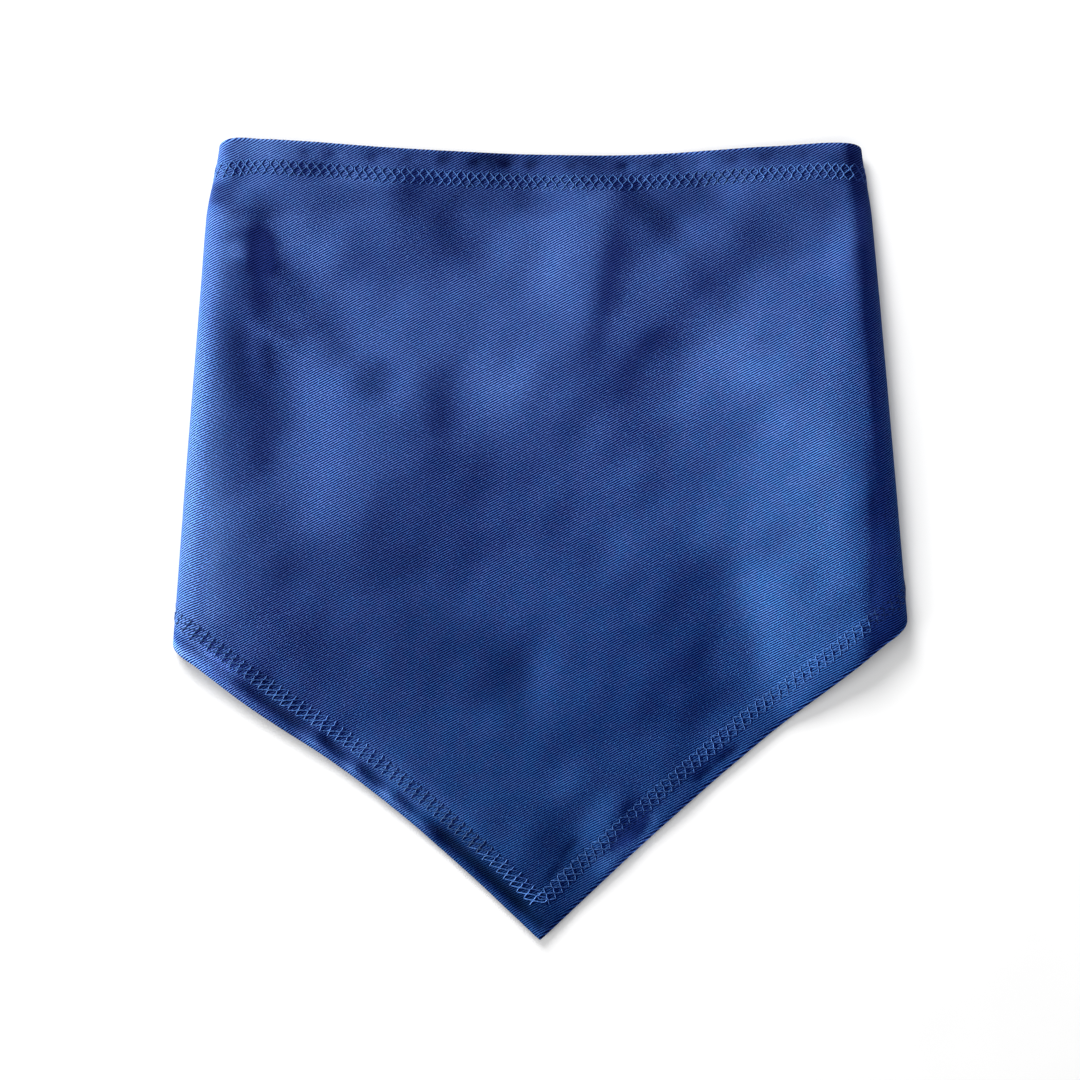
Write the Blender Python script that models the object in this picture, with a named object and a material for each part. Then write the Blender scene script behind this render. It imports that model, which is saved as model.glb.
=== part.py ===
"""Dog bandana: one hemmed cloth triangle, laid flat with both tie ends folded behind it.

The cloth is described by its flat cut, in millimetres: s runs along the neck edge, t up from the
tip to the neck edge. Between the two side folds the cloth lies face up, with x = s and y = t, over
a relief of soft folds. Beyond each side fold it goes round a roll and runs back underneath. Meshes
are written in metres, +Z up, with the cloth's underside on z = 0.
"""

from collections import namedtuple

import bmesh
import bpy
import numpy as np

MM = 0.001

# Thicknesses and clearances
WALL = 1.2  # cloth of the front, with its nap
END_WALL = 1.0  # cloth of the folded ends, pressed by the front
HEM_WALL = 1.0  # turned allowance
GAP = 0.3  # clearance between neighbouring pieces
PLY_SINK = 0.1  # how far the upper end presses into the lower one
PLY_SETTLE = 8.0  # distance over which the upper end comes down to the surface again
PLY_CLEAR = 1.5  # how far it stays level past the lower end's outline

# Flat cut
TOP_Y = 124.5  # neck edge, above the middle of the bandana
TIP_Y = -126.8  # tip of the V
HEM_WIDTH = 11.0
CUT_SLOPE = 40.0  # degrees, of the triangle's lower sides
TIE_TIP_S = 292.0  # finished half width, to the blunt tip of a tie end
LAP = 6.0  # stretch of the front's cloth that lies beneath, after each roll

# Side folds: where the outermost line crosses TOP_Y, how far it leans out toward the V,
# how far the roll stands out, and how much narrower the roll is at the neck edge
Fold = namedtuple("Fold", "side edge_x lean reach tuck")
LEFT_FOLD = Fold(side=-1, edge_x=103.2, lean=4.55, reach=7.0, tuck=2.2)
RIGHT_FOLD = Fold(side=1, edge_x=102.4, lean=5.05, reach=7.0, tuck=1.4)
TUCK_START = 100.0  # y above which a roll narrows

# Heights of the cloth's middle above the surface it lies on
LIE = 2.1  # along the hems of the V, and nowhere less
REST_BLEND = 0.5  # how softly dips come to rest at that height
PAD = 7.6  # where the front bridges the folded ends
PAD_RISE = 76.0  # distance from the V's edges over which the cloth rises to that
NECK_SHARE = 0.62  # share of the pad's height that is left at the neck edge
NECK_FALL = 28.0  # distance over which it falls to that
TIP_ROUND = 14.0  # how widely the slopes from the V's two edges blend at its tip
ROLL_TOP = {-1: 9.0, 1: 8.8}  # crest of each side roll
ROLL_SAG = {-1: 3.4, 1: 1.0}  # how much lower it is at its V corner
ROLL_FALL = {-1: (18.0, 46.0), 1: (18.0, 24.0)}  # width of the slope inside it, neck and V
FALL_POWER = 1.4  # lower makes that slope begin sooner
V_START = 20.0  # y below which the rolls begin to sag
V_CORNER = -30.0  # y of the corners where they end

# Edges of the flat cut, as (s, t) points joined by a smooth curve
EdgePoint = namedtuple("EdgePoint", "s t")
TOP_EDGE = [
    EdgePoint(-TIE_TIP_S, 119.0),
    EdgePoint(-130.0, 120.5),
    EdgePoint(-106.0, 124.0),
    EdgePoint(-97.0, 126.7),
    EdgePoint(-88.0, 126.5),
    EdgePoint(-46.0, 123.9),
    EdgePoint(28.0, 121.6),
    EdgePoint(74.0, 124.3),
    EdgePoint(97.0, 125.0),
    EdgePoint(112.0, 122.6),
    EdgePoint(TIE_TIP_S, 119.0),
]
# The V is described from its tip outward, with s measured away from the tip on either side
LOWER_EDGE = {
    -1: [
        EdgePoint(0.0, TIP_Y),
        EdgePoint(21.0, -106.7),
        EdgePoint(59.0, -75.0),
        EdgePoint(96.0, -50.0),
        EdgePoint(112.0, -37.6),
        EdgePoint(TIE_TIP_S, 111.0),
    ],
    1: [
        EdgePoint(0.0, TIP_Y),
        EdgePoint(36.0, -93.2),
        EdgePoint(74.0, -60.4),
        EdgePoint(99.0, -41.2),
        EdgePoint(112.0, -30.6),
        EdgePoint(TIE_TIP_S, 111.0),
    ],
}

# Soft folds of the front. Each runs from its upper end (x0, y0) to its lower end (x1, y1), bowed
# sideways in the middle. west and east are its half widths left and right of its line, and height
# is its crest above the cloth around it, or its depth where negative.
Crease = namedtuple("Crease", "x0 y0 x1 y1 bow west east height")
CREASES = [
    # left roll: flattened under the neck edge, its bulge, the groove beside it, its lower crest
    Crease(-99, 128, -98, 110, 0, 9, 13, -2.6),
    Crease(-76, 128, -74, 108, 0, 14, 20, 1.2),
    Crease(-93, 99, -92, 87, 0, 9, 5, 1.0),
    Crease(-84, 97, -82, 74, 0, 7, 10, -1.7),
    Crease(-83, 60, -80, 28, 0, 9, 12, -1.3),
    Crease(-98, 40, -91, -26, 0, 10, 16, 1.4),
    Crease(-74, 80, -47, 46, 0, 7, 9, -1.1),
    # belly left of the middle, and the dip it falls into
    Crease(-50, 50, -56, 0, 3, 22, 48, 4.2),
    Crease(-38, 52, -44, 30, 0, 6, 5, 0.3),
    Crease(-25, 52, -28, 32, 0, 8, 13, -1.1),
    Crease(4, 62, -3, 36, 0, 14, 22, 1.1),
    # shoulder under the neck edge, the hollow beside it, and the rib to its right
    Crease(-50, 114, -46, 90, 0, 24, 14, 1.3),
    Crease(2, 114, -22, 96, 0, 24, 12, -1.5),
    Crease(19, 100, 12, 62, 0, 14, 9, 2.2),
    Crease(54, 114, 40, 100, 0, 24, 12, -1.6),
    # long fold from the right shoulder
    Crease(52, 86, 27, 60, -1, 12, 7, 1.1),
    Crease(74, 114, 58, 94, 0, 12, 9, 0.6),
    Crease(76, 94, 46, 64, 2, 11, 20, -1.0),
    Crease(99, 112, 83, 88, 0, 9, 9, -1.0),
    Crease(42, 62, 40, 42, 0, 18, 14, -1.7),
    # fold that ends above the lower right hem, and the rise from it to the right roll
    Crease(60, -8, 72, -58, -1, 24, 11, -2.6),
    Crease(103, 66, 100, -34, 0, 40, 9, 4.3),
    Crease(101, 108, 100, 70, 0, 14, 9, 1.8),
    Crease(57, 40, 55, 4, 0, 26, 18, -1.2),
    # dips near the middle and the tip
    Crease(-4, -34, -6, -54, 0, 14, 8, -0.9),
    Crease(10, -88, 13, -112, 0, 9, 7, -0.8),
    Crease(27, -82, 20, -98, 0, 7, 6, 0.9),
]
CREASE_RUN_OUT = 0.35  # share of a fold's length over which it fades beyond its ends
CREASE_RUN_IN = 0.20  # and the share over which it fades before them

# Mesh density
FACE_COLUMNS = 32
ROLL_COLUMNS = 7
FACE_ROWS = 26
HEM_ROWS = 2
END_COLUMNS = 20
END_ROWS = 9
SOLVE_STEPS = 12

BLUE = (0.030, 0.065, 0.235)
BLUE_BACK = (0.038, 0.078, 0.255)
CLOTH_ROUGHNESS = 0.85


def ease(start: float, stop: float, value):
    """Smooth step from 0 at start to 1 at stop; start may be the larger."""
    share = np.clip((value - start) / (stop - start), 0.0, 1.0)
    return share * share * (3.0 - 2.0 * share)


def curve(points: list, s):
    """Smooth curve through the points, read at s: cubic, with Catmull-Rom tangents."""
    xs = np.array([point.s for point in points])
    ys = np.array([point.t for point in points])
    tangents = np.gradient(ys, xs)
    index = np.clip(np.searchsorted(xs, s) - 1, 0, len(xs) - 2)
    width = xs[index + 1] - xs[index]
    share = (s - xs[index]) / width
    lift = ys[index] + share**2 * (3.0 - 2.0 * share) * (ys[index + 1] - ys[index])
    bend = share * (1.0 - share) * width
    return lift + bend * ((1.0 - share) * tangents[index] - share * tangents[index + 1])


def top_edge(s):
    """t of the neck edge at s."""
    return curve(TOP_EDGE, s)


def lower_edge(s):
    """t of the V's edge at s."""
    left = curve(LOWER_EDGE[-1], np.maximum(-s, 0.0))
    right = curve(LOWER_EDGE[1], np.maximum(s, 0.0))
    return np.where(s < 0.0, left, right)


def outward(fold: Fold) -> tuple:
    """Unit vector that points out of the bandana, square to a side fold."""
    lean = np.radians(fold.lean)
    return fold.side * np.cos(lean), np.sin(lean)


def roll_start(fold: Fold, y):
    """x where the cloth starts to go round a side fold, at height y."""
    return fold.side * (fold.edge_x - fold.reach + (TOP_Y - y) * np.tan(np.radians(fold.lean)))


def inside(fold: Fold, x, y):
    """Distance from the start of a side fold, into the bandana."""
    return (roll_start(fold, y) - x) * outward(fold)[0]


def crease_height(crease: Crease, x, y):
    """Height that one soft fold adds at (x, y)."""
    dx, dy = crease.x1 - crease.x0, crease.y1 - crease.y0
    length = np.hypot(dx, dy)
    along = ((x - crease.x0) * dx + (y - crease.y0) * dy) / length**2
    across = ((y - crease.y0) * dx - (x - crease.x0) * dy) / length
    inner = np.clip(along, 0.0, 1.0)
    across = across - crease.bow * 4.0 * inner * (1.0 - inner)
    fade = ease(-CREASE_RUN_OUT, CREASE_RUN_IN, along)
    fade = fade * ease(1.0 + CREASE_RUN_OUT, 1.0 - CREASE_RUN_IN, along)
    half_width = np.where(across < 0.0, crease.west, crease.east)
    return crease.height * fade * np.exp(-((across / half_width) ** 2))


def relief(x, y):
    """Height of the middle of the front's cloth at (x, y), between its side folds."""
    slope = np.radians(CUT_SLOPE)
    around_tip = np.hypot(x, TIP_ROUND) - TIP_ROUND
    off_edge = (y - TIP_Y) * np.cos(slope) - around_tip * np.sin(slope)
    neck = NECK_SHARE + (1.0 - NECK_SHARE) * ease(TOP_Y, TOP_Y - NECK_FALL, y)
    z = LIE + (PAD - LIE) * ease(0.0, PAD_RISE, off_edge) * neck
    toward_v = ease(V_START, V_CORNER, y)
    for fold in (LEFT_FOLD, RIGHT_FOLD):
        crest = ROLL_TOP[fold.side] - ROLL_SAG[fold.side] * toward_v
        fall_neck, fall_v = ROLL_FALL[fold.side]
        fall = fall_neck + (fall_v - fall_neck) * toward_v
        depth = np.maximum(inside(fold, x, y), 0.0)
        z = z + (crest - z) * np.exp(-((depth / fall) ** FALL_POWER))
    for crease in CREASES:
        z = z + crease_height(crease, x, y)
    return LIE + REST_BLEND * np.logaddexp(0.0, (z - LIE) / REST_BLEND)


def roll_section(fold: Fold, y) -> tuple:
    """Reach, half height and half-turn length of the roll at height y of its start line."""
    reach = fold.reach - fold.tuck * ease(TUCK_START, TOP_Y, y)
    half_height = 0.5 * (relief(roll_start(fold, y), y) - 0.5 * WALL)
    half_turn = np.pi * np.sqrt(0.5 * (reach**2 + half_height**2))
    return reach, half_height, half_turn


def round_fold(fold: Fold, y, beyond) -> tuple:
    """Where cloth lies that goes beyond the roll's start, from (start, y), by that distance."""
    nx, ny = outward(fold)
    reach, half_height, half_turn = roll_section(fold, y)
    turn = np.pi * np.clip(beyond / half_turn, 0.0, 1.0)
    out = reach * np.sin(turn) - np.maximum(beyond - half_turn, 0.0)
    z = 0.5 * WALL + half_height * (1.0 + np.cos(turn))
    return roll_start(fold, y) + nx * out, y + ny * out, z


def on_cut_edge(edge, fold: Fold, beyond_at) -> np.ndarray:
    """Height on a roll's start line from which cloth going outward meets an edge of the cut."""
    nx, ny = outward(fold)
    y = edge(roll_start(fold, 0.0))
    for _ in range(SOLVE_STEPS):
        beyond = beyond_at(y)
        y = edge(roll_start(fold, y) + nx * beyond) - ny * beyond
    return y


def between_folds(share: float, edge) -> float:
    """Height at which a column, at a share from the left roll to the right one, meets an edge."""
    y = edge(0.0)
    for _ in range(SOLVE_STEPS):
        left, right = roll_start(LEFT_FOLD, y), roll_start(RIGHT_FOLD, y)
        y = edge(left + share * (right - left))
    return y


def front_column(position: float, shares, inset_low: float, inset_top: float) -> list:
    """Points of one column of the front, from the V to the neck edge.

    position is 0 to 1 between the rolls' start lines, down to -1 round the left roll and up to 2
    round the right one, and past those on the lap beneath. shares are the rows' places from the
    lower edge to the upper one, once each is moved in by its inset.
    """
    if 0.0 <= position <= 1.0:
        low = between_folds(position, lower_edge) + inset_low
        top = between_folds(position, top_edge) - inset_top
        y = low + shares * (top - low)
        left, right = roll_start(LEFT_FOLD, y), roll_start(RIGHT_FOLD, y)
        x = left + position * (right - left)
        return np.stack([x, y, relief(x, y)], axis=1)
    fold = LEFT_FOLD if position < 0.0 else RIGHT_FOLD
    turn = -position if position < 0.0 else position - 1.0

    def beyond_at(y):
        half_turn = roll_section(fold, y)[2]
        return min(turn, 1.0) * half_turn + max(turn - 1.0, 0.0) * LAP

    low = on_cut_edge(lower_edge, fold, beyond_at) + inset_low
    top = on_cut_edge(top_edge, fold, beyond_at) - inset_top
    y = low + shares * (top - low)
    return np.stack(round_fold(fold, y, beyond_at(y)), axis=1)


def tip_position() -> float:
    """Position, between the rolls' start lines, of the column that ends at the tip."""
    left, right = roll_start(LEFT_FOLD, TIP_Y), roll_start(RIGHT_FOLD, TIP_Y)
    return -left / (right - left)


def column_positions() -> np.ndarray:
    """Columns of the front, from the end of the left lap to the end of the right one."""
    rolled = np.linspace(0.0, 1.0, ROLL_COLUMNS + 1)[1:]
    left = np.concatenate([[-2.0], -rolled[::-1]])
    left_face = np.linspace(0.0, tip_position(), FACE_COLUMNS // 2 + 1)
    right_face = np.linspace(tip_position(), 1.0, FACE_COLUMNS // 2 + 1)[1:]
    right = np.concatenate([1.0 + rolled, [3.0]])
    return np.concatenate([left, left_face, right_face, right])


def front_points() -> np.ndarray:
    """Middle surface of the front, columns by rows."""
    shares = np.linspace(0.0, 1.0, FACE_ROWS + 1)
    return np.array([front_column(p, shares, 0.0, 0.0) for p in column_positions()])


def cloth_object(name: str, points: np.ndarray, wall: float, moved_in: float, material):
    """A wall of cloth around a grid of points, moved back along its normals first.

    Args:
        name: object's name.
        points: columns by rows of (x, y, z), in millimetres, face side up.
        wall: thickness.
        moved_in: how far the middle of the wall lies behind the points.
        material: its material.
    """
    columns, rows = points.shape[:2]
    bm = bmesh.new()
    bmesh.ops.create_grid(bm, x_segments=rows - 1, y_segments=columns - 1, size=1.0)
    bm.verts.ensure_lookup_table()
    for vert, point in zip(bm.verts, points.reshape(-1, 3)):
        vert.co = point * MM
    bmesh.ops.reverse_faces(bm, faces=bm.faces)
    bm.normal_update()
    for vert in bm.verts:
        vert.co -= vert.normal * moved_in * MM
    mesh = bpy.data.meshes.new(name)
    bm.to_mesh(mesh)
    bm.free()
    mesh.materials.append(material)
    obj = bpy.data.objects.new(name, mesh)
    bpy.context.scene.collection.objects.link(obj)
    thicken = obj.modifiers.new("wall", "SOLIDIFY")
    thicken.thickness = wall * MM
    thicken.offset = 0.0
    return obj


def hem_points(positions, inner: float, along_neck: bool) -> np.ndarray:
    """Points of the front that a turned hem lies behind.

    Args:
        positions: the hem's columns, as in front_column.
        inner: how far up or down from the cut's edge the hem reaches.
        along_neck: whether it is the neck edge's hem, or one of the V's.
    """
    shares = np.linspace(0.0, 1.0, HEM_ROWS + 1)
    outer = inner * GAP / HEM_WIDTH
    points = []
    for position in positions:
        ends = front_column(position, np.array([0.0, 1.0]), 0.0, 0.0)
        height = ends[1, 1] - ends[0, 1]
        insets = (height - inner, outer) if along_neck else (outer, height - inner)
        points.append(front_column(position, shares, *insets))
    return np.array(points)


def build_hems(material) -> None:
    """The three turned hems, each one gap behind the front."""
    positions = column_positions()
    tip = tip_position()
    clear = GAP / (2.0 * RIGHT_FOLD.edge_x)
    lower_left = np.append(positions[positions < tip - clear], tip - clear)
    lower_right = np.insert(positions[positions > tip + clear], 0, tip + clear)
    rise = HEM_WIDTH / np.cos(np.radians(CUT_SLOPE))
    behind = 0.5 * WALL + GAP + 0.5 * HEM_WALL
    for name, columns, inner, along_neck in (
        ("hem_top", positions, HEM_WIDTH, True),
        ("hem_lower_left", lower_left, rise, False),
        ("hem_lower_right", lower_right, rise, False),
    ):
        points = hem_points(columns, inner, along_neck)
        cloth_object(name, points, HEM_WALL, behind, material)


def under_lower_end(x, y):
    """1 where the left tie end lies at (x, y) under the bandana, easing to 0 around its outline."""
    nx, ny = outward(LEFT_FOLD)
    depth = inside(LEFT_FOLD, x, y)
    foot_y = y + ny * depth
    beyond = depth + roll_section(LEFT_FOLD, foot_y)[2]
    s = roll_start(LEFT_FOLD, foot_y) + nx * beyond
    t = foot_y + ny * beyond
    cover = ease(-PLY_SETTLE, -PLY_CLEAR, t - lower_edge(s))
    cover = cover * ease(-PLY_SETTLE, -PLY_CLEAR, top_edge(s) - t)
    return cover * ease(-PLY_SETTLE, -PLY_CLEAR, TIE_TIP_S + s)


def end_points(fold: Fold) -> np.ndarray:
    """Middle surface of one tie end, from the seam beneath the roll to its tip."""
    nx, ny = outward(fold)
    tip_beyond = (TIE_TIP_S - abs(roll_start(fold, top_edge(TIE_TIP_S)))) / abs(nx)
    rows = np.linspace(0.0, 1.0, END_ROWS + 1)
    points = []
    for share in np.linspace(0.0, 1.0, END_COLUMNS + 1):

        def beyond_at(y, share=share):
            root = roll_section(fold, y)[2] + LAP + GAP
            return root + share * (tip_beyond - root)

        low = on_cut_edge(lower_edge, fold, beyond_at)
        y = low + rows * (on_cut_edge(top_edge, fold, beyond_at) - low)
        x, y, _ = round_fold(fold, y, beyond_at(y))
        points.append(np.stack([x, y, np.full_like(x, 0.5 * END_WALL)], axis=1))
    return np.array(points)


def build_ends(material) -> None:
    """Both tie ends as one solid: the left one on the surface, the right one lying over it."""
    ends = cloth_object("folded_ends", end_points(LEFT_FOLD), END_WALL, 0.0, material)
    over = end_points(RIGHT_FOLD)
    cover = under_lower_end(over[..., 0], over[..., 1])
    over[..., 2] += (END_WALL - PLY_SINK) * cover
    upper = cloth_object("upper_end", over, END_WALL, 0.0, material)
    upper.hide_render = True
    upper.display_type = "WIRE"
    join = ends.modifiers.new("upper end", "BOOLEAN")
    join.operation = "UNION"
    join.object = upper


def build_material(name: str, colour: tuple):
    """Matt cloth of one colour."""
    material = bpy.data.materials.new(name)
    material.use_nodes = True
    shader = material.node_tree.nodes["Principled BSDF"]
    shader.inputs["Base Color"].default_value = (*colour, 1.0)
    shader.inputs["Roughness"].default_value = CLOTH_ROUGHNESS
    shader.inputs["Metallic"].default_value = 0.0
    return material


def main() -> None:
    """Clear the scene and build the bandana."""
    for obj in list(bpy.data.objects):
        bpy.data.objects.remove(obj, do_unlink=True)
    cloth_object("front", front_points(), WALL, 0.0, build_material("twill_face", BLUE))
    build_hems(build_material("twill_hem", BLUE_BACK))
    build_ends(build_material("twill_ends", BLUE))


main()
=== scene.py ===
"""Looks of a dog bandana in blue twill, laid flat with both tie ends folded behind it.

The cloth is described by its flat cut, in millimetres: s runs along the neck edge, t up from the
tip of the V to the neck edge. Between the side folds it lies face up with x = s and y = t. Beyond
them it goes round a roll and runs back beneath, face down. Meshes are written in metres.
"""

import logging
import math
from collections.abc import Callable
from dataclasses import dataclass, field
from enum import Enum
from functools import partialmethod

import bmesh
import bpy
import numpy as np
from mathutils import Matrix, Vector


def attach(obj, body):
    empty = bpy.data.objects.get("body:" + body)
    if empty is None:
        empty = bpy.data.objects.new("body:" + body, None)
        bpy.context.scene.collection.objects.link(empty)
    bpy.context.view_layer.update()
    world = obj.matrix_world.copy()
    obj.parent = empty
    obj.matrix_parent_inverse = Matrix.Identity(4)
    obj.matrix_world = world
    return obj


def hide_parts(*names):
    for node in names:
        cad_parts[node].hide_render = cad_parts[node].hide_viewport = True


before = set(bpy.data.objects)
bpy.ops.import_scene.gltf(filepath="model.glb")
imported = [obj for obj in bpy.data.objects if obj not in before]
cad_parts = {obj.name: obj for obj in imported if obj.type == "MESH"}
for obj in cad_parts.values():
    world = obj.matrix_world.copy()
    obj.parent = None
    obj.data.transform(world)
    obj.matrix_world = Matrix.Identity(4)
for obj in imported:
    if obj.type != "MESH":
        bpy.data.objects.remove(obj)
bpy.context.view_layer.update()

LOG = logging.getLogger("bandana")
MM = 0.001
BODY = "root"
SOLVE_STEPS = 12
RAIL_STEPS = 1200
NORMAL_STEP = 0.2  # reach of the differences that give the cloth's normal, in millimetres

Array = np.ndarray
Socket = bpy.types.NodeSocket
Object = bpy.types.Object
Material = bpy.types.Material


class Side(Enum):
    """Side of the bandana, seen from above."""

    LEFT = -1
    RIGHT = 1


class Edge(Enum):
    """Edge of the cut that a hem or a row of stitches follows."""

    NECK = "neck"
    V_LEFT = "v_left"
    V_RIGHT = "v_right"


def ease(start: float, stop: float, value: Array) -> Array:
    """Smooth step.

    Args:
        start: value at which the result is 0; it may be the larger.
        stop: value at which the result is 1.
        value: where to read it.

    Returns:
        Shares from 0 to 1.
    """
    share = np.clip((value - start) / (stop - start), 0.0, 1.0)
    return share * share * (3.0 - 2.0 * share)


# --- shape of the laid cloth ---------------------------------------------------------------------


@dataclass(frozen=True)
class EdgeCurve:
    """Smooth line through points (s, t) of the cut."""

    points: tuple

    def at(self, s: Array) -> Array:
        """Read the line.

        Args:
            s: places along the neck edge.

        Returns:
            t of the line at those places.
        """
        xs = np.array([point[0] for point in self.points], float)
        ys = np.array([point[1] for point in self.points], float)
        tangents = np.gradient(ys, xs)
        index = np.clip(np.searchsorted(xs, s) - 1, 0, len(xs) - 2)
        width = xs[index + 1] - xs[index]
        share = (s - xs[index]) / width
        rise = ys[index] + share**2 * (3.0 - 2.0 * share) * (ys[index + 1] - ys[index])
        bend = share * (1.0 - share) * width
        return rise + bend * ((1.0 - share) * tangents[index] - share * tangents[index + 1])


@dataclass(frozen=True)
class SideFold:
    """Roll in which the cloth turns beneath the bandana."""

    side: Side
    edge_x: float  # outermost line, at the top
    lean: float  # degrees that it leans out toward the V
    reach: float  # how far the roll stands out
    tuck: float  # how much narrower it is at the neck edge
    crest: float  # height of its crest
    sag: float  # how much lower that is at the V
    fall_neck: float  # width of the slope inside it, at the neck edge
    fall_v: float  # and at the V

    def outward(self) -> tuple[float, float]:
        """Unit vector that points out of the bandana, square to the fold."""
        lean = math.radians(self.lean)
        return self.side.value * math.cos(lean), math.sin(lean)

    def start(self, y: Array, top_y: float) -> Array:
        """Find where the cloth starts to go round the fold.

        Args:
            y: heights along the fold.
            top_y: height at which edge_x is measured.

        Returns:
            x of the start line at those heights.
        """
        slope = math.tan(math.radians(self.lean))
        return self.side.value * (self.edge_x - self.reach + (top_y - y) * slope)


@dataclass(frozen=True)
class SoftBand:
    """Soft-edged band from its upper end (x0, y0) to its lower end (x1, y1): a fold, or painted
    shading.
    """

    x0: float
    y0: float
    x1: float
    y1: float
    bow: float  # how far its middle bends sideways
    west: float  # half width left of its line
    east: float  # and right of it
    height: float  # at its middle; a trough or darker painted shade is negative
    run_out: float = 0.35  # share of its length over which it fades beyond its ends
    run_in: float = 0.20  # and before them

    def lift(self, x: Array, y: Array) -> Array:
        """What the band adds.

        Args:
            x: places across the bandana.
            y: places up the bandana.

        Returns:
            Shares of its height.
        """
        dx = self.x1 - self.x0
        dy = self.y1 - self.y0
        length = math.hypot(dx, dy)
        along = ((x - self.x0) * dx + (y - self.y0) * dy) / length**2
        across = ((y - self.y0) * dx - (x - self.x0) * dy) / length
        inner = np.clip(along, 0.0, 1.0)
        across = across - self.bow * 4.0 * inner * (1.0 - inner)
        fade = ease(-self.run_out, self.run_in, along)
        fade = fade * ease(1.0 + self.run_out, 1.0 - self.run_in, along)
        half_width = np.where(across < 0.0, self.west, self.east)
        return self.height * fade * np.exp(-((across / half_width) ** 2))


def soft_bands(*rows: tuple) -> tuple:
    """Bands from rows of numbers, in the order of SoftBand's fields."""
    return tuple(SoftBand(*row) for row in rows)


def lifts(bands: tuple, x: Array, y: Array) -> Array:
    """Sum of what bands add at places (x, y)."""
    return sum(band.lift(x, y) for band in bands)


# Main folds of the front, the same as the solid's
MAIN_CREASES = soft_bands(
    # left roll: flattened under the neck edge, its bulge, the groove beside it, its lower crest
    (-99, 128, -98, 110, 0, 9, 13, -2.6),
    (-76, 128, -74, 108, 0, 14, 20, 1.2),
    (-93, 99, -92, 87, 0, 9, 5, 1.0),
    (-84, 97, -82, 74, 0, 7, 10, -1.7),
    (-83, 60, -80, 28, 0, 9, 12, -1.3),
    (-98, 40, -91, -26, 0, 10, 16, 1.4),
    (-74, 80, -47, 46, 0, 7, 9, -1.1),
    # belly left of the middle, and the dip it falls into
    (-50, 50, -56, 0, 3, 22, 48, 4.2),
    (-38, 52, -44, 30, 0, 6, 5, 0.3),
    (-25, 52, -28, 32, 0, 8, 13, -1.1),
    (4, 62, -3, 36, 0, 14, 22, 1.1),
    # shoulder under the neck edge, the hollow beside it, and the rib to its right
    (-50, 114, -46, 90, 0, 24, 14, 1.3),
    (2, 114, -22, 96, 0, 24, 12, -1.5),
    (19, 100, 12, 62, 0, 14, 9, 2.2),
    (54, 114, 40, 100, 0, 24, 12, -1.6),
    # long fold from the right shoulder
    (52, 86, 27, 60, -1, 12, 7, 1.1),
    (74, 114, 58, 94, 0, 12, 9, 0.6),
    (76, 94, 46, 64, 2, 11, 20, -1.0),
    (99, 112, 83, 88, 0, 9, 9, -1.0),
    (42, 62, 40, 42, 0, 18, 14, -1.7),
    # fold that ends above the lower right hem, and the rise from it to the right roll
    (60, -8, 72, -58, -1, 24, 11, -2.6),
    (103, 66, 100, -34, 0, 40, 9, 4.3),
    (101, 108, 100, 70, 0, 14, 9, 1.8),
    (57, 40, 55, 4, 0, 26, 18, -1.2),
    # dips near the middle and the tip
    (-4, -34, -6, -54, 0, 14, 8, -0.9),
    (10, -88, 13, -112, 0, 9, 7, -0.8),
    (27, -82, 20, -98, 0, 7, 6, 0.9),
)

# Finer folds, which only this dressed cloth has
FINE_CREASES = soft_bands(
    # groove beside the left roll: narrower, longer at its top, with a pinch at its foot
    (-84, 97, -82, 76, 0, 7, 9, 0.85),
    (-92, 90, -90, 72, 0, 4, 5, 0.25),
    (-87, 110, -86, 100, 0, 4, 6, -0.3),
    (-92, 70, -79, 61, 0, 2.5, 3, 0.3),
    # line of pull along the lower left hem, and the strip of its turned edge
    (-34, -91, -4, -117, 0, 2.2, 2.8, -0.8, 0.1, 0.15),
    (-42, -90, -5, -122, 0, 1.8, 1.6, 0.35, 0.15, 0.2),
    # puckers along the lower left hem
    (-92, -46, -76, -60, 0, 2.6, 2.2, -0.55),
    (-68, -62, -61, -70, 0, 2.2, 1.8, -0.50),
    (-56, -72, -50, -78, 0, 2.0, 1.8, -0.45),
    (-44, -81, -39, -86, 0, 2.0, 1.8, -0.35),
    # and along the lower right one
    (63, -66, 57, -70, 0, 1.8, 1.8, -0.4),
    (55, -72, 50, -76, 0, 1.8, 1.8, -0.4),
    (35, -89, 30, -94, 0, 1.8, 1.8, -0.25),
    (29, -83, 27, -87, 0, 1.8, 1.8, -0.20),
    (12, -95, 8, -100, 0, 1.6, 1.6, -0.20),
    (7, -103, 3, -108, 0, 1.6, 1.6, -0.25),
)

# Dimples that the stitches draw into the neck hem: place along it, and depth
NECK_PUCKERS = (
    (-98.0, 0.35), (-73.0, 0.25), (-65.0, 0.20), (-52.0, 0.28),
    (-41.0, 0.20), (-30.0, 0.26), (-20.0, 0.42), (-10.0, 0.45),
    (-2.0, 0.45), (11.0, 0.26), (27.0, 0.45), (38.0, 0.25),
    (50.0, 0.18), (62.0, 0.22), (72.0, 0.22), (84.0, 0.16),
)
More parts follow.
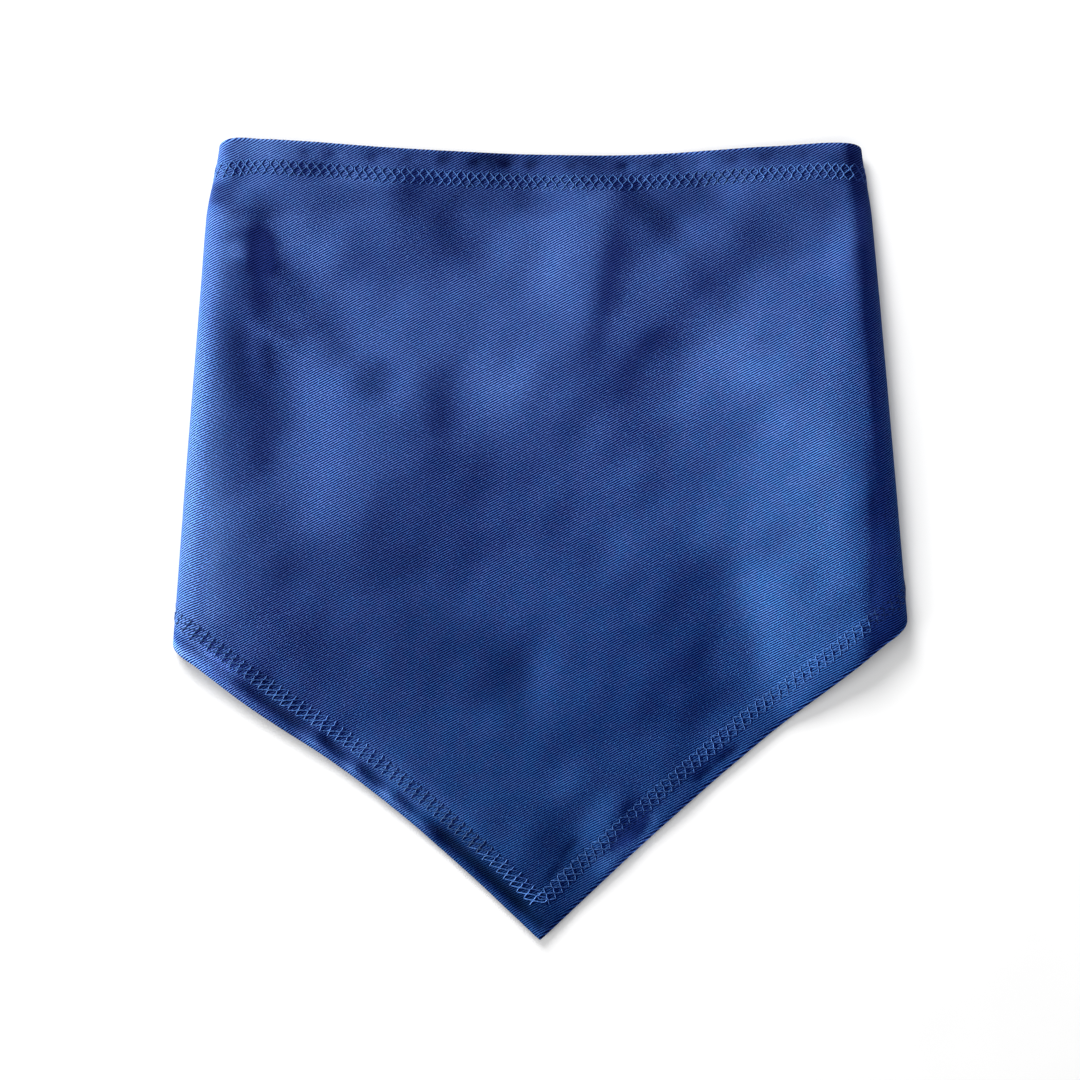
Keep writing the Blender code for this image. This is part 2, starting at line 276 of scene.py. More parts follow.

# Patches of painted light and shade on the face: how much lighter or darker it is painted there
PAINTED_SHADING_PATCHES = soft_bands(
    # broad: darker toward the V, lighter above
    (-50, 0, -44, -44, 0, 34, 30, -0.32),
    (-30, -30, -10, -80, 0, 50, 34, -0.34),
    (0, -88, 0, -124, 0, 26, 26, -0.42),
    (80, 52, 80, -34, 0, 18, 16, 0.20),
    (-50, 84, -20, 60, 0, 30, 30, 0.14),
    (10, 60, 20, 10, 0, 22, 26, 0.12),
    # along the side rolls
    (-104, 60, -108, -30, 0, 6, 6, 0.40),
    (-93, 24, -92, -10, 0, 6, 5, 0.25),
    (-104, 14, -106, -26, 0, 6, 6, 0.30),
    (-86, -16, -70, -22, 0, 6, 7, 0.22),
    (-91, 64, -89, 50, 0, 2.5, 3, 0.45),
    (-86, 38, -86, 28, 0, 3, 4, 0.25),
    (-80, 52, -80, 36, 0, 3, 4, -0.18),
    (-96, 94, -95, 89, 0, 3, 3, 0.35),
    (-77, 71, -76, 67, 0, 3, 3, 0.25),
    (-76, 84, -76, 76, 0, 4, 4, -0.25),
    (-99, 94, -99, 74, 0, 5, 4, 0.30),
    (-87, 96, -86, 78, 0, 4, 4, 0.42),
    (-93, 86, -92, 76, 0, 4, 3, -0.18),
    (-81, 86, -79, 74, 0, 4, 3, -0.15),
    (-99, 103, -97, 98, 0, 4, 3, 0.25),
    (-101, 112, -101, 106, 0, 3.5, 3.5, -0.75),
    (-97, 76, -95, 48, 0, 5, 5, -0.35),
    (-92, 68, -79, 61, 0, 2.2, 2.2, 0.35),
    (-86, 62, -85, 52, 0, 3, 3, -0.35),
    (100, 100, 102, -20, 0, 4, 5, -0.22),
    (90, 44, 92, -4, 0, 6, 6, 0.20),
    (105, 2, 106, -28, 0, 3, 4, 0.55),
    (86, 84, 91, 72, 0, 8, 6, -0.22),
    (100, 106, 100, 94, 0, 3, 3, 0.40),
    # under the neck edge
    (-24, 122, 18, 122, 0, 9, 9, -0.45),
    (-32, 121, -28, 121, 0, 3, 3, -0.50),
    (-20, 120, -9, 120, 0, 3, 3, -0.50),
    (-4, 120, 0, 120, 0, 3, 3, -0.35),
    (-96, 125, -60, 124, 0, 6, 6, 0.40),
    (-42, 112, -42, 102, 0, 5, 5, -0.30),
    (-26, 110, -17, 105, 0, 5, 5, -0.40),
    (-30, 101, -28, 90, 0, 5, 5, -0.25),
    (-6, 110, -6, 104, 0, 3, 3, -0.30),
    (2, 109, 4, 103, 0, 7, 7, -0.26),
    (20, 112, 18, 104, 0, 6, 6, 0.16),
    (6, 98, 5, 72, 0, 8, 8, 0.16),
    (30, 104, 56, 106, 0, 7, 8, -0.42),
    (70, 108, 80, 92, 0, 8, 6, -0.08),
    (89, 106, 87, 88, 0, 4, 4, -0.28),
    (60, 122, 92, 122, 0, 4, 4, -0.40),
    (-62, 115, -40, 113, 0, 3, 3, 0.18),
    (96, 122, 96, 114, 0, 5, 5, -0.40),
    (-18, 112, -8, 100, 0, 7, 7, -0.12),
    (-78, 104, -76, 92, 0, 6, 6, 0.15),
    (93, 118, 92, 104, 0, 7, 8, -0.30),
    (-74, 104, -58, 72, 0, 9, 9, 0.18),
    (56, 110, 66, 106, 0, 5, 5, -0.12),
    (-56, 98, -54, 82, 0, 6, 6, -0.15),
    # middle
    (-66, 76, -66, 66, 0, 5, 5, -0.20),
    (-50, 56, -52, 46, 0, 7, 6, -0.32),
    (-36, 43, -39, 35, 0, 4, 4, 0.25),
    (-30, -22, -34, -34, 0, 9, 9, -0.12),
    (-20, 58, -12, 44, 0, 8, 8, 0.20),
    (25, 98, 18, 58, 0, 6, 6, 0.30),
    (54, 86, 46, 76, 0, 5, 5, 0.22),
    (36, 64, 30, 58, 0, 5, 5, 0.15),
    (-4, 52, 0, 28, 0, 8, 8, 0.20),
    (50, 76, 40, 66, 0, 6, 6, 0.20),
    (-40, 18, -40, 4, 0, 10, 10, -0.15),
    (-24, 28, -20, 14, 0, 14, 14, -0.12),
    (57, 36, 56, 12, 0, 9, 9, -0.12),
    (60, 70, 62, 50, 0, 10, 10, 0.22),
    (-16, 2, -13, -24, 0, 8, 8, 0.22),
    (-8, -36, -9, -54, 0, 8, 6, -0.25),
    (50, -16, 52, -64, 0, 18, 10, -0.16),
    (46, -6, 42, -14, 0, 6, 6, 0.14),
    (44, -36, 40, -50, 0, 8, 8, 0.14),
    (-50, -54, -24, -60, 0, 8, 8, -0.10),
    (-66, -24, -76, -46, 0, 10, 10, -0.18),
    # around the tip
    (9, -94, 8, -108, 0, 5, 6, -0.20),
    (12, -66, 6, -88, 0, 8, 8, 0.10),
    (34, -86, 31, -96, 0, 4, 4, 0.45),
    (26, -92, 25, -98, 0, 4, 4, 0.32),
    (-5, -114, 2, -123, 0, 5, 6, -0.45),
    (-5, -88, -6, -102, 0, 6, 6, 0.22),
    (62, -60, 48, -74, 0, 6, 6, 0.20),
    (16, -108, 3, -120, 0, 4, 5, -0.20),
    (19, -104, 29, -95, 0, 4, 3.5, 0.50),
    # the lower left hem's turned edge, painted lighter, and painted shade in its puckers
    (-106, -37, -38, -87, 0, 3.0, 3.5, 0.50, 0.05, 0.05),
    (-89, -45, -75, -59, 0, 4.5, 4.5, -0.85),
    (-108, -34, -97, -42, 0, 5, 4, 0.62),
    (-52, -68, -22, -92, 0, 4, 4, 0.36),
    (-69, -62, -61, -70, 0, 3.0, 3.0, -0.45),
    (-56, -72, -50, -78, 0, 2.6, 2.6, -0.40),
    (-33, -91, -4, -116, 0, 4.0, 4.5, -0.55, 0.1, 0.1),
    # the lower right hem
    (70, -54, 40, -80, 0, 7, 7, -0.30),
    (110, -28, 78, -54, 0, 6, 6, -0.25),
)

# Soft waves of the tie ends where they lie beneath; they only lift off the surface
END_CREASES = soft_bands(
    (-78, 92, -10, 70, 3, 7, 10, 0.8),
    (-70, 52, -28, 38, 0, 8, 9, 0.7),
    (76, 90, 18, 76, -3, 8, 8, 0.8),
    (72, 44, 34, 52, 0, 7, 10, 0.7),
    (-84, 6, -52, 22, 0, 6, 8, 0.6),
    (80, 2, 56, 20, 0, 8, 6, 0.6),
)

LEFT_FOLD = SideFold(Side.LEFT, 103.2, 4.55, 7.0, 2.2, 9.0, sag=3.4, fall_neck=18.0, fall_v=46.0)
RIGHT_FOLD = SideFold(Side.RIGHT, 102.4, 5.05, 7.0, 1.4, 8.8, sag=1.0, fall_neck=18.0, fall_v=24.0)


# Edges of the cut. Those of the V run outward from the tip, the left one with its s turned positive
NECK_EDGE = EdgeCurve(
    (
        (-292.0, 119.0), (-130.0, 120.5), (-106.0, 124.0), (-97.0, 126.7), (-88.0, 126.5),
        (-46.0, 123.9), (28.0, 121.6), (74.0, 124.3), (97.0, 125.0), (112.0, 122.6),
        (292.0, 119.0),
    )
)
LEFT_EDGE = EdgeCurve(
    (
        (0.0, -126.8), (21.0, -106.7), (59.0, -75.0), (96.0, -50.0), (112.0, -37.6),
        (292.0, 111.0),
    )
)
RIGHT_EDGE = EdgeCurve(
    (
        (0.0, -126.8), (36.0, -93.2), (74.0, -60.4), (99.0, -41.2), (112.0, -30.6),
        (292.0, 111.0),
    )
)


@dataclass(frozen=True)
class LaidCloth:
    """How the whole cut lies: relief of the front, side rolls, and tie ends beneath."""

    top_y: float = 124.5  # neck edge, above the middle
    tip_y: float = -126.8
    cut_slope: float = 40.0  # degrees, of the triangle's lower sides
    tie_tip_s: float = 292.0  # finished half width, to the blunt tip of a tie end
    lap: float = 6.0  # stretch of the front beneath, after each roll
    wall: float = 1.2  # wall of the solid that the front stands on
    tuck_start: float = 100.0  # y above which a roll narrows
    lie: float = 2.1  # height of the cloth's middle along the V, and nowhere less
    rest_blend: float = 0.5  # how softly dips come to rest at that height
    pad: float = 7.6  # where the front bridges the folded ends
    pad_rise: float = 76.0  # distance from the V over which it rises to that
    neck_share: float = 0.62  # share of that height left at the neck edge
    neck_fall: float = 28.0  # distance over which it falls to that
    fall_power: float = 1.4  # lower makes the slope inside a roll begin sooner
    tip_round: float = 14.0  # how widely the slopes blend at the tip
    v_start: float = 20.0  # y below which the rolls begin to sag
    v_corner: float = -30.0  # y of the corners where they end
    crumple: float = 0.10  # height of the fine unevenness all over
    crumple_size: float = 17.0
    crumple_spread: tuple = (0.7, 1.8)  # span of the waves' sizes, as shares of that
    crumple_waves: int = 14
    crumple_seed: int = 11
    pucker_inset: float = 3.7  # distance of the neck hem's dimples from its edge
    pucker_reach: tuple = (1.9, 1.45)  # their half widths, along the hem and across it
    hollow_painted_shade: float = 0.8  # painted shade: how much darker each millimetre of fine hollow is painted
    # painted light and shade along the lower edges: amount, how far in from the edge, and width
    left_rim_painted_shading: tuple = ((-0.80, 0.0, 0.6), (0.50, 1.5, 0.9), (-0.42, 4.4, 1.3))
    right_rim_painted_shading: tuple = ((1.15, 0.0, 0.7), (-0.25, 1.8, 0.8))
    rim_slant: float = 0.8  # depth square to a lower edge, for each of height above it
    ply: float = 1.1  # how much higher the upper end lies where it crosses the lower one
    ply_settle: float = 8.0  # distance over which it comes down again
    ply_clear: float = 1.5
    end_run: float = 22.0  # stretch beneath over which the waves of the ends begin
    neck: EdgeCurve = NECK_EDGE
    v_left: EdgeCurve = LEFT_EDGE
    v_right: EdgeCurve = RIGHT_EDGE

    def top_edge(self, s: Array) -> Array:
        """t of the neck edge at s."""
        return self.neck.at(s)

    def lower_edge(self, s: Array) -> Array:
        """t of the V's edge at s."""
        left = self.v_left.at(np.maximum(-s, 0.0))
        right = self.v_right.at(np.maximum(s, 0.0))
        return np.where(np.asarray(s) < 0.0, left, right)

    def inside(self, fold: SideFold, x: Array, y: Array) -> Array:
        """Distance from a fold's start line, into the bandana; negative beyond it."""
        return (fold.start(y, self.top_y) - x) * fold.outward()[0]

    def relief(self, x: Array, y: Array) -> Array:
        """Height of the middle of the front's cloth between its side folds.

        Args:
            x: places across the bandana.
            y: places up the bandana.

        Returns:
            Heights above the surface it lies on.
        """
        slope = math.radians(self.cut_slope)
        around_tip = np.hypot(x, self.tip_round) - self.tip_round
        off_edge = (y - self.tip_y) * math.cos(slope) - around_tip * math.sin(slope)
        neck = self.neck_share + (1.0 - self.neck_share) * ease(
            self.top_y, self.top_y - self.neck_fall, y
        )
        z = self.lie + (self.pad - self.lie) * ease(0.0, self.pad_rise, off_edge) * neck
        toward_v = ease(self.v_start, self.v_corner, y)
        for fold in (LEFT_FOLD, RIGHT_FOLD):
            crest = fold.crest - fold.sag * toward_v
            fall = fold.fall_neck + (fold.fall_v - fold.fall_neck) * toward_v
            depth = np.maximum(self.inside(fold, x, y), 0.0)
            z = z + (crest - z) * np.exp(-((depth / fall) ** self.fall_power))
        for crease in MAIN_CREASES:
            z = z + crease.lift(x, y)
        z = self.lie + self.rest_blend * np.logaddexp(0.0, (z - self.lie) / self.rest_blend)
        return z + self.fine_relief(x, y) + self.crumpled(x, y)

    def fine_relief(self, x: Array, y: Array) -> Array:
        """Height that the finer folds and the hem's dimples add."""
        z = lifts(FINE_CREASES, x, y)
        across = (self.top_edge(x) - y - self.pucker_inset) / self.pucker_reach[1]
        for place, depth in NECK_PUCKERS:
            z = z - depth * np.exp(-(((x - place) / self.pucker_reach[0]) ** 2) - across**2)
        return z

    def crumpled(self, x: Array, y: Array) -> Array:
        """Height of the fine unevenness: a few waves of different size and bearing."""
        rng = np.random.default_rng(self.crumple_seed)
        z = 0.0
        for _ in range(self.crumple_waves):
            bearing, phase = rng.uniform(0.0, 2.0 * np.pi, 2)
            size = self.crumple_size * rng.uniform(*self.crumple_spread)
            run = x * np.cos(bearing) + y * np.sin(bearing)
            z = z + np.sin(2.0 * np.pi * run / size + phase) * size / self.crumple_size
        return self.crumple * z / math.sqrt(0.5 * self.crumple_waves)

    def painted_shading(self, s: Array, t: Array) -> Array:
        """Painted light and shade on the cloth's face at points of the cut; 1 is its plain colour.
        """
        tint = lifts(PAINTED_SHADING_PATCHES, s, t)
        # painted shade in the fine hollows
        tint = tint + self.hollow_painted_shade * np.minimum(self.fine_relief(s, t), 0.0)
        depth = self.rim_slant * np.maximum(t - self.lower_edge(s), 0.0)
        # painted light and shade along the lower edges
        for rim, beside in ((self.left_rim_painted_shading, s < 0.0), (self.right_rim_painted_shading, s >= 0.0)):
            for amount, place, width in rim:
                near = np.exp(-(((depth - place) / width) ** 2))
                tint = tint + np.where(beside, amount, 0.0) * near
        return np.exp(tint)

    def roll_section(self, fold: SideFold, y: Array) -> tuple[Array, Array, Array]:
        """Section of a side roll.

        Args:
            fold: the roll.
            y: heights on its start line.

        Returns:
            Its reach, half height and half-turn length there.
        """
        reach = fold.reach - fold.tuck * ease(self.tuck_start, self.top_y, y)
        crest = self.relief(fold.start(y, self.top_y), y)
        half_height = 0.5 * (crest - 0.5 * self.wall)
        half_turn = np.pi * np.sqrt(0.5 * (reach**2 + half_height**2))
        return reach, half_height, half_turn

    def under_lower_end(self, x: Array, y: Array) -> Array:
        """1 where the left tie end lies at (x, y) beneath, easing to 0 around its outline."""
        nx, ny = LEFT_FOLD.outward()
        depth = self.inside(LEFT_FOLD, x, y)
        foot_y = y + ny * depth
        beyond = depth + self.roll_section(LEFT_FOLD, foot_y)[2]
        s = LEFT_FOLD.start(foot_y, self.top_y) + nx * beyond
        t = foot_y + ny * beyond
        cover = ease(-self.ply_settle, -self.ply_clear, t - self.lower_edge(s))
        cover = cover * ease(-self.ply_settle, -self.ply_clear, self.top_edge(s) - t)
        return cover * ease(-self.ply_settle, -self.ply_clear, self.tie_tip_s + s)

    def round_fold(self, fold: SideFold, y: Array, beyond: Array) -> Array:
        """Place cloth that goes beyond a roll's start line.

        Args:
            fold: the roll.
            y: heights of the feet of those places on the start line.
            beyond: distances beyond it, measured along the cloth.

        Returns:
            Points (..., 3).
        """
        nx, ny = fold.outward()
        reach, half_height, half_turn = self.roll_section(fold, y)
        turn = np.pi * np.clip(beyond / half_turn, 0.0, 1.0)
        run = np.maximum(beyond - half_turn, 0.0)
        out = reach * np.sin(turn) - run
        x = fold.start(y, self.top_y) + nx * out
        y_there = y + ny * out
        z = 0.5 * self.wall + half_height * (1.0 + np.cos(turn))
        beneath = ease(self.lap, self.lap + self.end_run, run)
        z = z + lifts(END_CREASES, x, y_there) * beneath
        if fold.side is Side.RIGHT:
            z = z + self.ply * self.under_lower_end(x, y_there) * ease(0.0, self.lap, run)
        return np.stack([x, y_there, z], axis=-1)

    def place(self, s: Array, t: Array) -> Array:
        """Find where points of the cut lie.

        Args:
            s: places along the neck edge.
            t: places up from the tip.

        Returns:
            Points (..., 3) on the middle of the cloth.
        """
        s, t = np.broadcast_arrays(np.asarray(s, float), np.asarray(t, float))
        points = np.stack([s, t, self.relief(s, t)], axis=-1)
        for fold in (LEFT_FOLD, RIGHT_FOLD):
            beyond = -self.inside(fold, s, t)
            out = beyond > 0.0
            if np.any(out):
                foot = t[out] - fold.outward()[1] * beyond[out]
                points[out] = self.round_fold(fold, foot, beyond[out])
        return points

    def face(self, s: Array, t: Array) -> Array:
        """Unit normals of the cloth's face side at points of the cut."""
        h = NORMAL_STEP
        along = self.place(s + h, t) - self.place(s - h, t)
        across = self.place(s, t + h) - self.place(s, t - h)
        normal = np.cross(along, across)
        return normal / np.linalg.norm(normal, axis=-1, keepdims=True)

    def offset(self, s: Array, t: Array, height: Array) -> Array:
        """Points above the cloth's middle, on its face side, or behind it at a negative height."""
        height = np.asarray(height, float)
        return self.place(s, t) + self.face(s, t) * height[..., None]

    def on_column(self, position: float, y: Array) -> tuple[Array, Array]:
        """Find a column of the cut: 0 to 1 between the start lines, beyond them round the rolls.

        Args:
            position: -1 and 2 are the ends of the half turns, -2 and 3 the ends of the laps, and
                past those each unit is a millimetre.
            y: heights on the start line, or between the folds.

        Returns:
            s and t of the column at those heights.
        """
        if 0.0 <= position <= 1.0:
            left = LEFT_FOLD.start(y, self.top_y)
            right = RIGHT_FOLD.start(y, self.top_y)
            return left + position * (right - left), y + 0.0 * left
        fold = LEFT_FOLD if position < 0.0 else RIGHT_FOLD
        turn = -position if position < 0.0 else position - 1.0
        beyond = min(turn, 1.0) * self.roll_section(fold, y)[2]
        beyond = beyond + min(max(turn - 1.0, 0.0), 1.0) * self.lap + max(turn - 2.0, 0.0)
        nx, ny = fold.outward()
        return fold.start(y, self.top_y) + nx * beyond, y + ny * beyond

    def meet(self, position: float, edge: Callable) -> float:
        """Height at which a column meets an edge of the cut."""
        y = float(edge(0.0))
        for _ in range(SOLVE_STEPS):
            s, t = self.on_column(position, np.array(y))
            y = y + float(edge(s) - t)
        return y

    def tip_position(self) -> float:
        """Position of the column that ends at the tip."""
        left = LEFT_FOLD.start(self.tip_y, self.top_y)
        right = RIGHT_FOLD.start(self.tip_y, self.top_y)
        return -left / (right - left)


# --- finishes ------------------------------------------------------------------------------------


class NodeTree:
    """Small helper that adds and links shader nodes."""

    def __init__(self, tree: bpy.types.NodeTree) -> None:
        """Keep the tree."""
        self.tree = tree

    def fill(self, node: bpy.types.Node, inputs: dict) -> None:
        """Give inputs of a node their values or sockets, by name or index."""
        for key, value in inputs.items():
            if isinstance(value, Socket):
                self.tree.links.new(value, node.inputs[key])
            else:
                node.inputs[key].default_value = value

    def add(self, kind: str, inputs: dict | None = None, **settings: object) -> bpy.types.Node:
        """Add a node.

        Args:
            kind: type name of the node.
            inputs: values or sockets for its inputs, by name or index.
            settings: properties of the node.

        Returns:
            The node.
        """
        node = self.tree.nodes.new(kind)
        for name, value in settings.items():
            setattr(node, name, value)
        self.fill(node, inputs or {})
        return node

    def math(self, operation: str, *values: object) -> Socket:
        """Result of a Math node on up to three values or sockets."""
        return self.add("ShaderNodeMath", dict(enumerate(values)), operation=operation).outputs[0]

    plus = partialmethod(math, "ADD")
    minus = partialmethod(math, "SUBTRACT")
    times = partialmethod(math, "MULTIPLY")
    over = partialmethod(math, "DIVIDE")

    def remap(
        self, value: object, source: tuple, target: tuple = (0.0, 1.0), kind: str = "LINEAR"
    ) -> Socket:
        """Value mapped from one range to another, and held at their ends."""
        ends = dict(zip(("From Min", "From Max", "To Min", "To Max"), (*source, *target)))
        node = self.add("ShaderNodeMapRange", {"Value": value, **ends}, interpolation_type=kind)
        return node.outputs[0]

    def scale(self, value: object, low: float, high: float) -> Socket:
        """Share from 0 to 1 mapped to run from low to high."""
        return self.remap(value, (0.0, 1.0), (low, high))

    def step(self, value: object, low: object, high: object) -> Socket:
        """Smooth step of a value from 0 at low to 1 at high."""
        return self.remap(value, (low, high), kind="SMOOTHSTEP")

    def mix(self, share: object, first: object, second: object) -> Socket:
        """Colour mixed from first to second by a share."""
        inputs = {0: share, 6: first, 7: second}
        return self.add("ShaderNodeMix", inputs, data_type="RGBA").outputs[2]

    def noise(
        self, at: object, scale: object, detail: float = 1.0, rough: float = 0.5, space: str = "2D"
    ) -> Socket:
        """Soft noise from 0 to 1."""
        inputs = {"Vector": at, "Scale": scale, "Detail": detail, "Roughness": rough}
        return self.add("ShaderNodeTexNoise", inputs, noise_dimensions=space).outputs[0]

    def split(self, vector: object) -> dict:
        """X, Y and Z of a vector."""
        return self.add("ShaderNodeSeparateXYZ", {0: vector}).outputs

    def group(self, tree: bpy.types.NodeTree, inputs: dict) -> dict:
        """Outputs of a node group, by name."""
        return self.add("ShaderNodeGroup", inputs, node_tree=tree).outputs

    def attribute(self, name: str, output: str) -> Socket:
        """Output of a mesh attribute."""
        return self.add("ShaderNodeAttribute", attribute_name=name).outputs[output]

    def bump(self, strength: float, distance: float, height: object) -> Socket:
        """Normal of a fine relief."""
        inputs = {"Strength": strength, "Distance": distance, "Height": height}
        return self.add("ShaderNodeBump", inputs).outputs[0]


def new_group(name: str, vector: str, numbers: dict, outputs: tuple) -> tuple:
    """Start a shader node group.

    Args:
        name: its name.
        vector: name of its vector input.
        numbers: its float inputs, with the value of each.
        outputs: names of its outputs, all floats.

    Returns:
        The group, its helper, and the sockets of its input node by name.
    """
    group = bpy.data.node_groups.new(name, "ShaderNodeTree")
    group.interface.new_socket(vector, in_out="INPUT", socket_type="NodeSocketVector")
    for key, value in numbers.items():
        made = group.interface.new_socket(key, in_out="INPUT", socket_type="NodeSocketFloat")
        made.default_value = value
    for output in outputs:
        group.interface.new_socket(output, in_out="OUTPUT", socket_type="NodeSocketFloat")
    nodes = NodeTree(group)
    return group, nodes, nodes.add("NodeGroupInput").outputs


# Twill: scales of the noises that move its lines, and how much the finer one counts
DRIFT_SCALE = 160.0
WOBBLE_SCALE = 1300.0
WOBBLE_SHARE = 0.4
# how far the floats of each line start after those of the last, and at random, in their lengths
ROW_SHIFT = 0.37
ROW_JITTER = 0.35
# how blunt the ends of the floats are, and how much lower than their middles
BEAD_POWER = 0.6
BEAD_DROP = 0.08


def build_twill_group() -> bpy.types.NodeTree:
    """Twill weave read from a map in metres: raised slanting lines made of short floats of yarn.

    Returns:
        Group with the outputs Height and Yarn.
    """
    numbers = {"Spacing": 0.00068, "Slant": 0.48, "Float Length": 0.0013, "Waver": 0.0002}
    group, n, given = new_group("TwillWeave", "Map", numbers, ("Height", "Yarn"))
    at = n.split(given["Map"])
    cosine = n.math("COSINE", given["Slant"])
    sine = n.math("SINE", given["Slant"])
    along = n.plus(n.times(at["X"], cosine), n.times(at["Y"], sine))
    across = n.minus(n.times(at["Y"], cosine), n.times(at["X"], sine))
    drift = n.minus(n.noise(given["Map"], DRIFT_SCALE), 0.5)
    wobble = n.minus(n.noise(given["Map"], WOBBLE_SCALE), 0.5)
    moved = n.times(n.plus(drift, n.times(wobble, WOBBLE_SHARE)), given["Waver"])
    row = n.over(n.plus(across, moved), given["Spacing"])
    row_number = n.math("FLOOR", row)
    jitter = n.add("ShaderNodeTexWhiteNoise", {"W": row_number}, noise_dimensions="1D")
    place = n.over(along, given["Float Length"])
    place = n.plus(place, n.times(row_number, ROW_SHIFT))
    place = n.plus(place, n.times(jitter.outputs["Value"], ROW_JITTER))
    ridge = n.math("SINE", n.times(n.math("FRACT", row), math.pi))
    bead = n.math("SINE", n.times(n.math("FRACT", place), math.pi))
    bead = n.math("POWER", bead, BEAD_POWER)
    height = n.times(ridge, n.plus(n.times(bead, BEAD_DROP), 1.0 - BEAD_DROP))
    pair = n.add("ShaderNodeCombineXYZ", {"X": row_number, "Y": n.math("FLOOR", place)})
    yarn = n.add("ShaderNodeTexWhiteNoise", {"Vector": pair.outputs[0]}, noise_dimensions="2D")
    n.add("NodeGroupOutput", {"Height": height, "Yarn": yarn.outputs["Value"]})
    return group


def build_mottle_group() -> bpy.types.NodeTree:
    """Slow changes of a cloth's colour: patches of dye, and slubs.

    Returns:
        Group with the outputs Patch and Slub.
    """
    group, n, given = new_group("ClothMottle", "Map", {"Patch Scale": 190.0}, ("Patch", "Slub"))
    patch = n.step(n.noise(given["Map"], given["Patch Scale"], 3.0, 0.6), 0.36, 0.64)
    slub = n.step(n.noise(given["Map"], 1500.0), 0.60, 0.72)
    n.add("NodeGroupOutput", {"Patch": patch, "Slub": slub})
    return group


def build_seam_group() -> bpy.types.NodeTree:
    """Grooves that the stitches press into the cloth.

    It reads the "seam" attribute: distance along an edge and in from it, in metres, and the
    threads' lean.

    Returns:
        Group with the output Groove.
    """
    numbers = {"Inset": 0.0088, "Width": 0.0055, "Pitch": 0.00295, "Half Gap": 0.05}
    group, n, given = new_group("StitchGrooves", "Seam", numbers, ("Groove",))
    seam = n.split(given["Seam"])
    across = n.minus(seam["Y"], given["Inset"])
    share = n.minus(0.5, n.over(across, given["Width"]))
    turn = n.math("COSINE", n.times(share, 3.0 * math.pi))
    swing = n.minus(0.25, n.times(given["Half Gap"], 0.5))
    wave = n.plus(n.times(n.minus(1.0, turn), swing), given["Half Gap"])
    upright = n.minus(seam["X"], n.times(across, seam["Z"]))
    cell = n.over(upright, given["Pitch"])
    left = n.math("PINGPONG", n.plus(n.minus(cell, wave), 0.5), 0.5)
    right = n.math("PINGPONG", n.plus(n.plus(cell, wave), 0.5), 0.5)
    groove = n.step(n.math("MINIMUM", left, right), 0.14, 0.05)
    edge = n.math("ABSOLUTE", n.minus(share, 0.5))
    n.add("NodeGroupOutput", {"Groove": n.times(groove, n.step(edge, 0.56, 0.50))})
    return group


@dataclass(frozen=True)
class Weaves:
    """Node groups that the finishes share."""

    twill: bpy.types.NodeTree
    mottle: bpy.types.NodeTree
    seam: bpy.types.NodeTree


def start_material(name: str) -> tuple[Material, NodeTree, bpy.types.Node]:
    """Start a material.

    Args:
        name: its name.

    Returns:
        The material, its node helper and its Principled shader.
    """
    material = bpy.data.materials.new(name)
    material.use_nodes = True
    return material, NodeTree(material.node_tree), material.node_tree.nodes["Principled BSDF"]


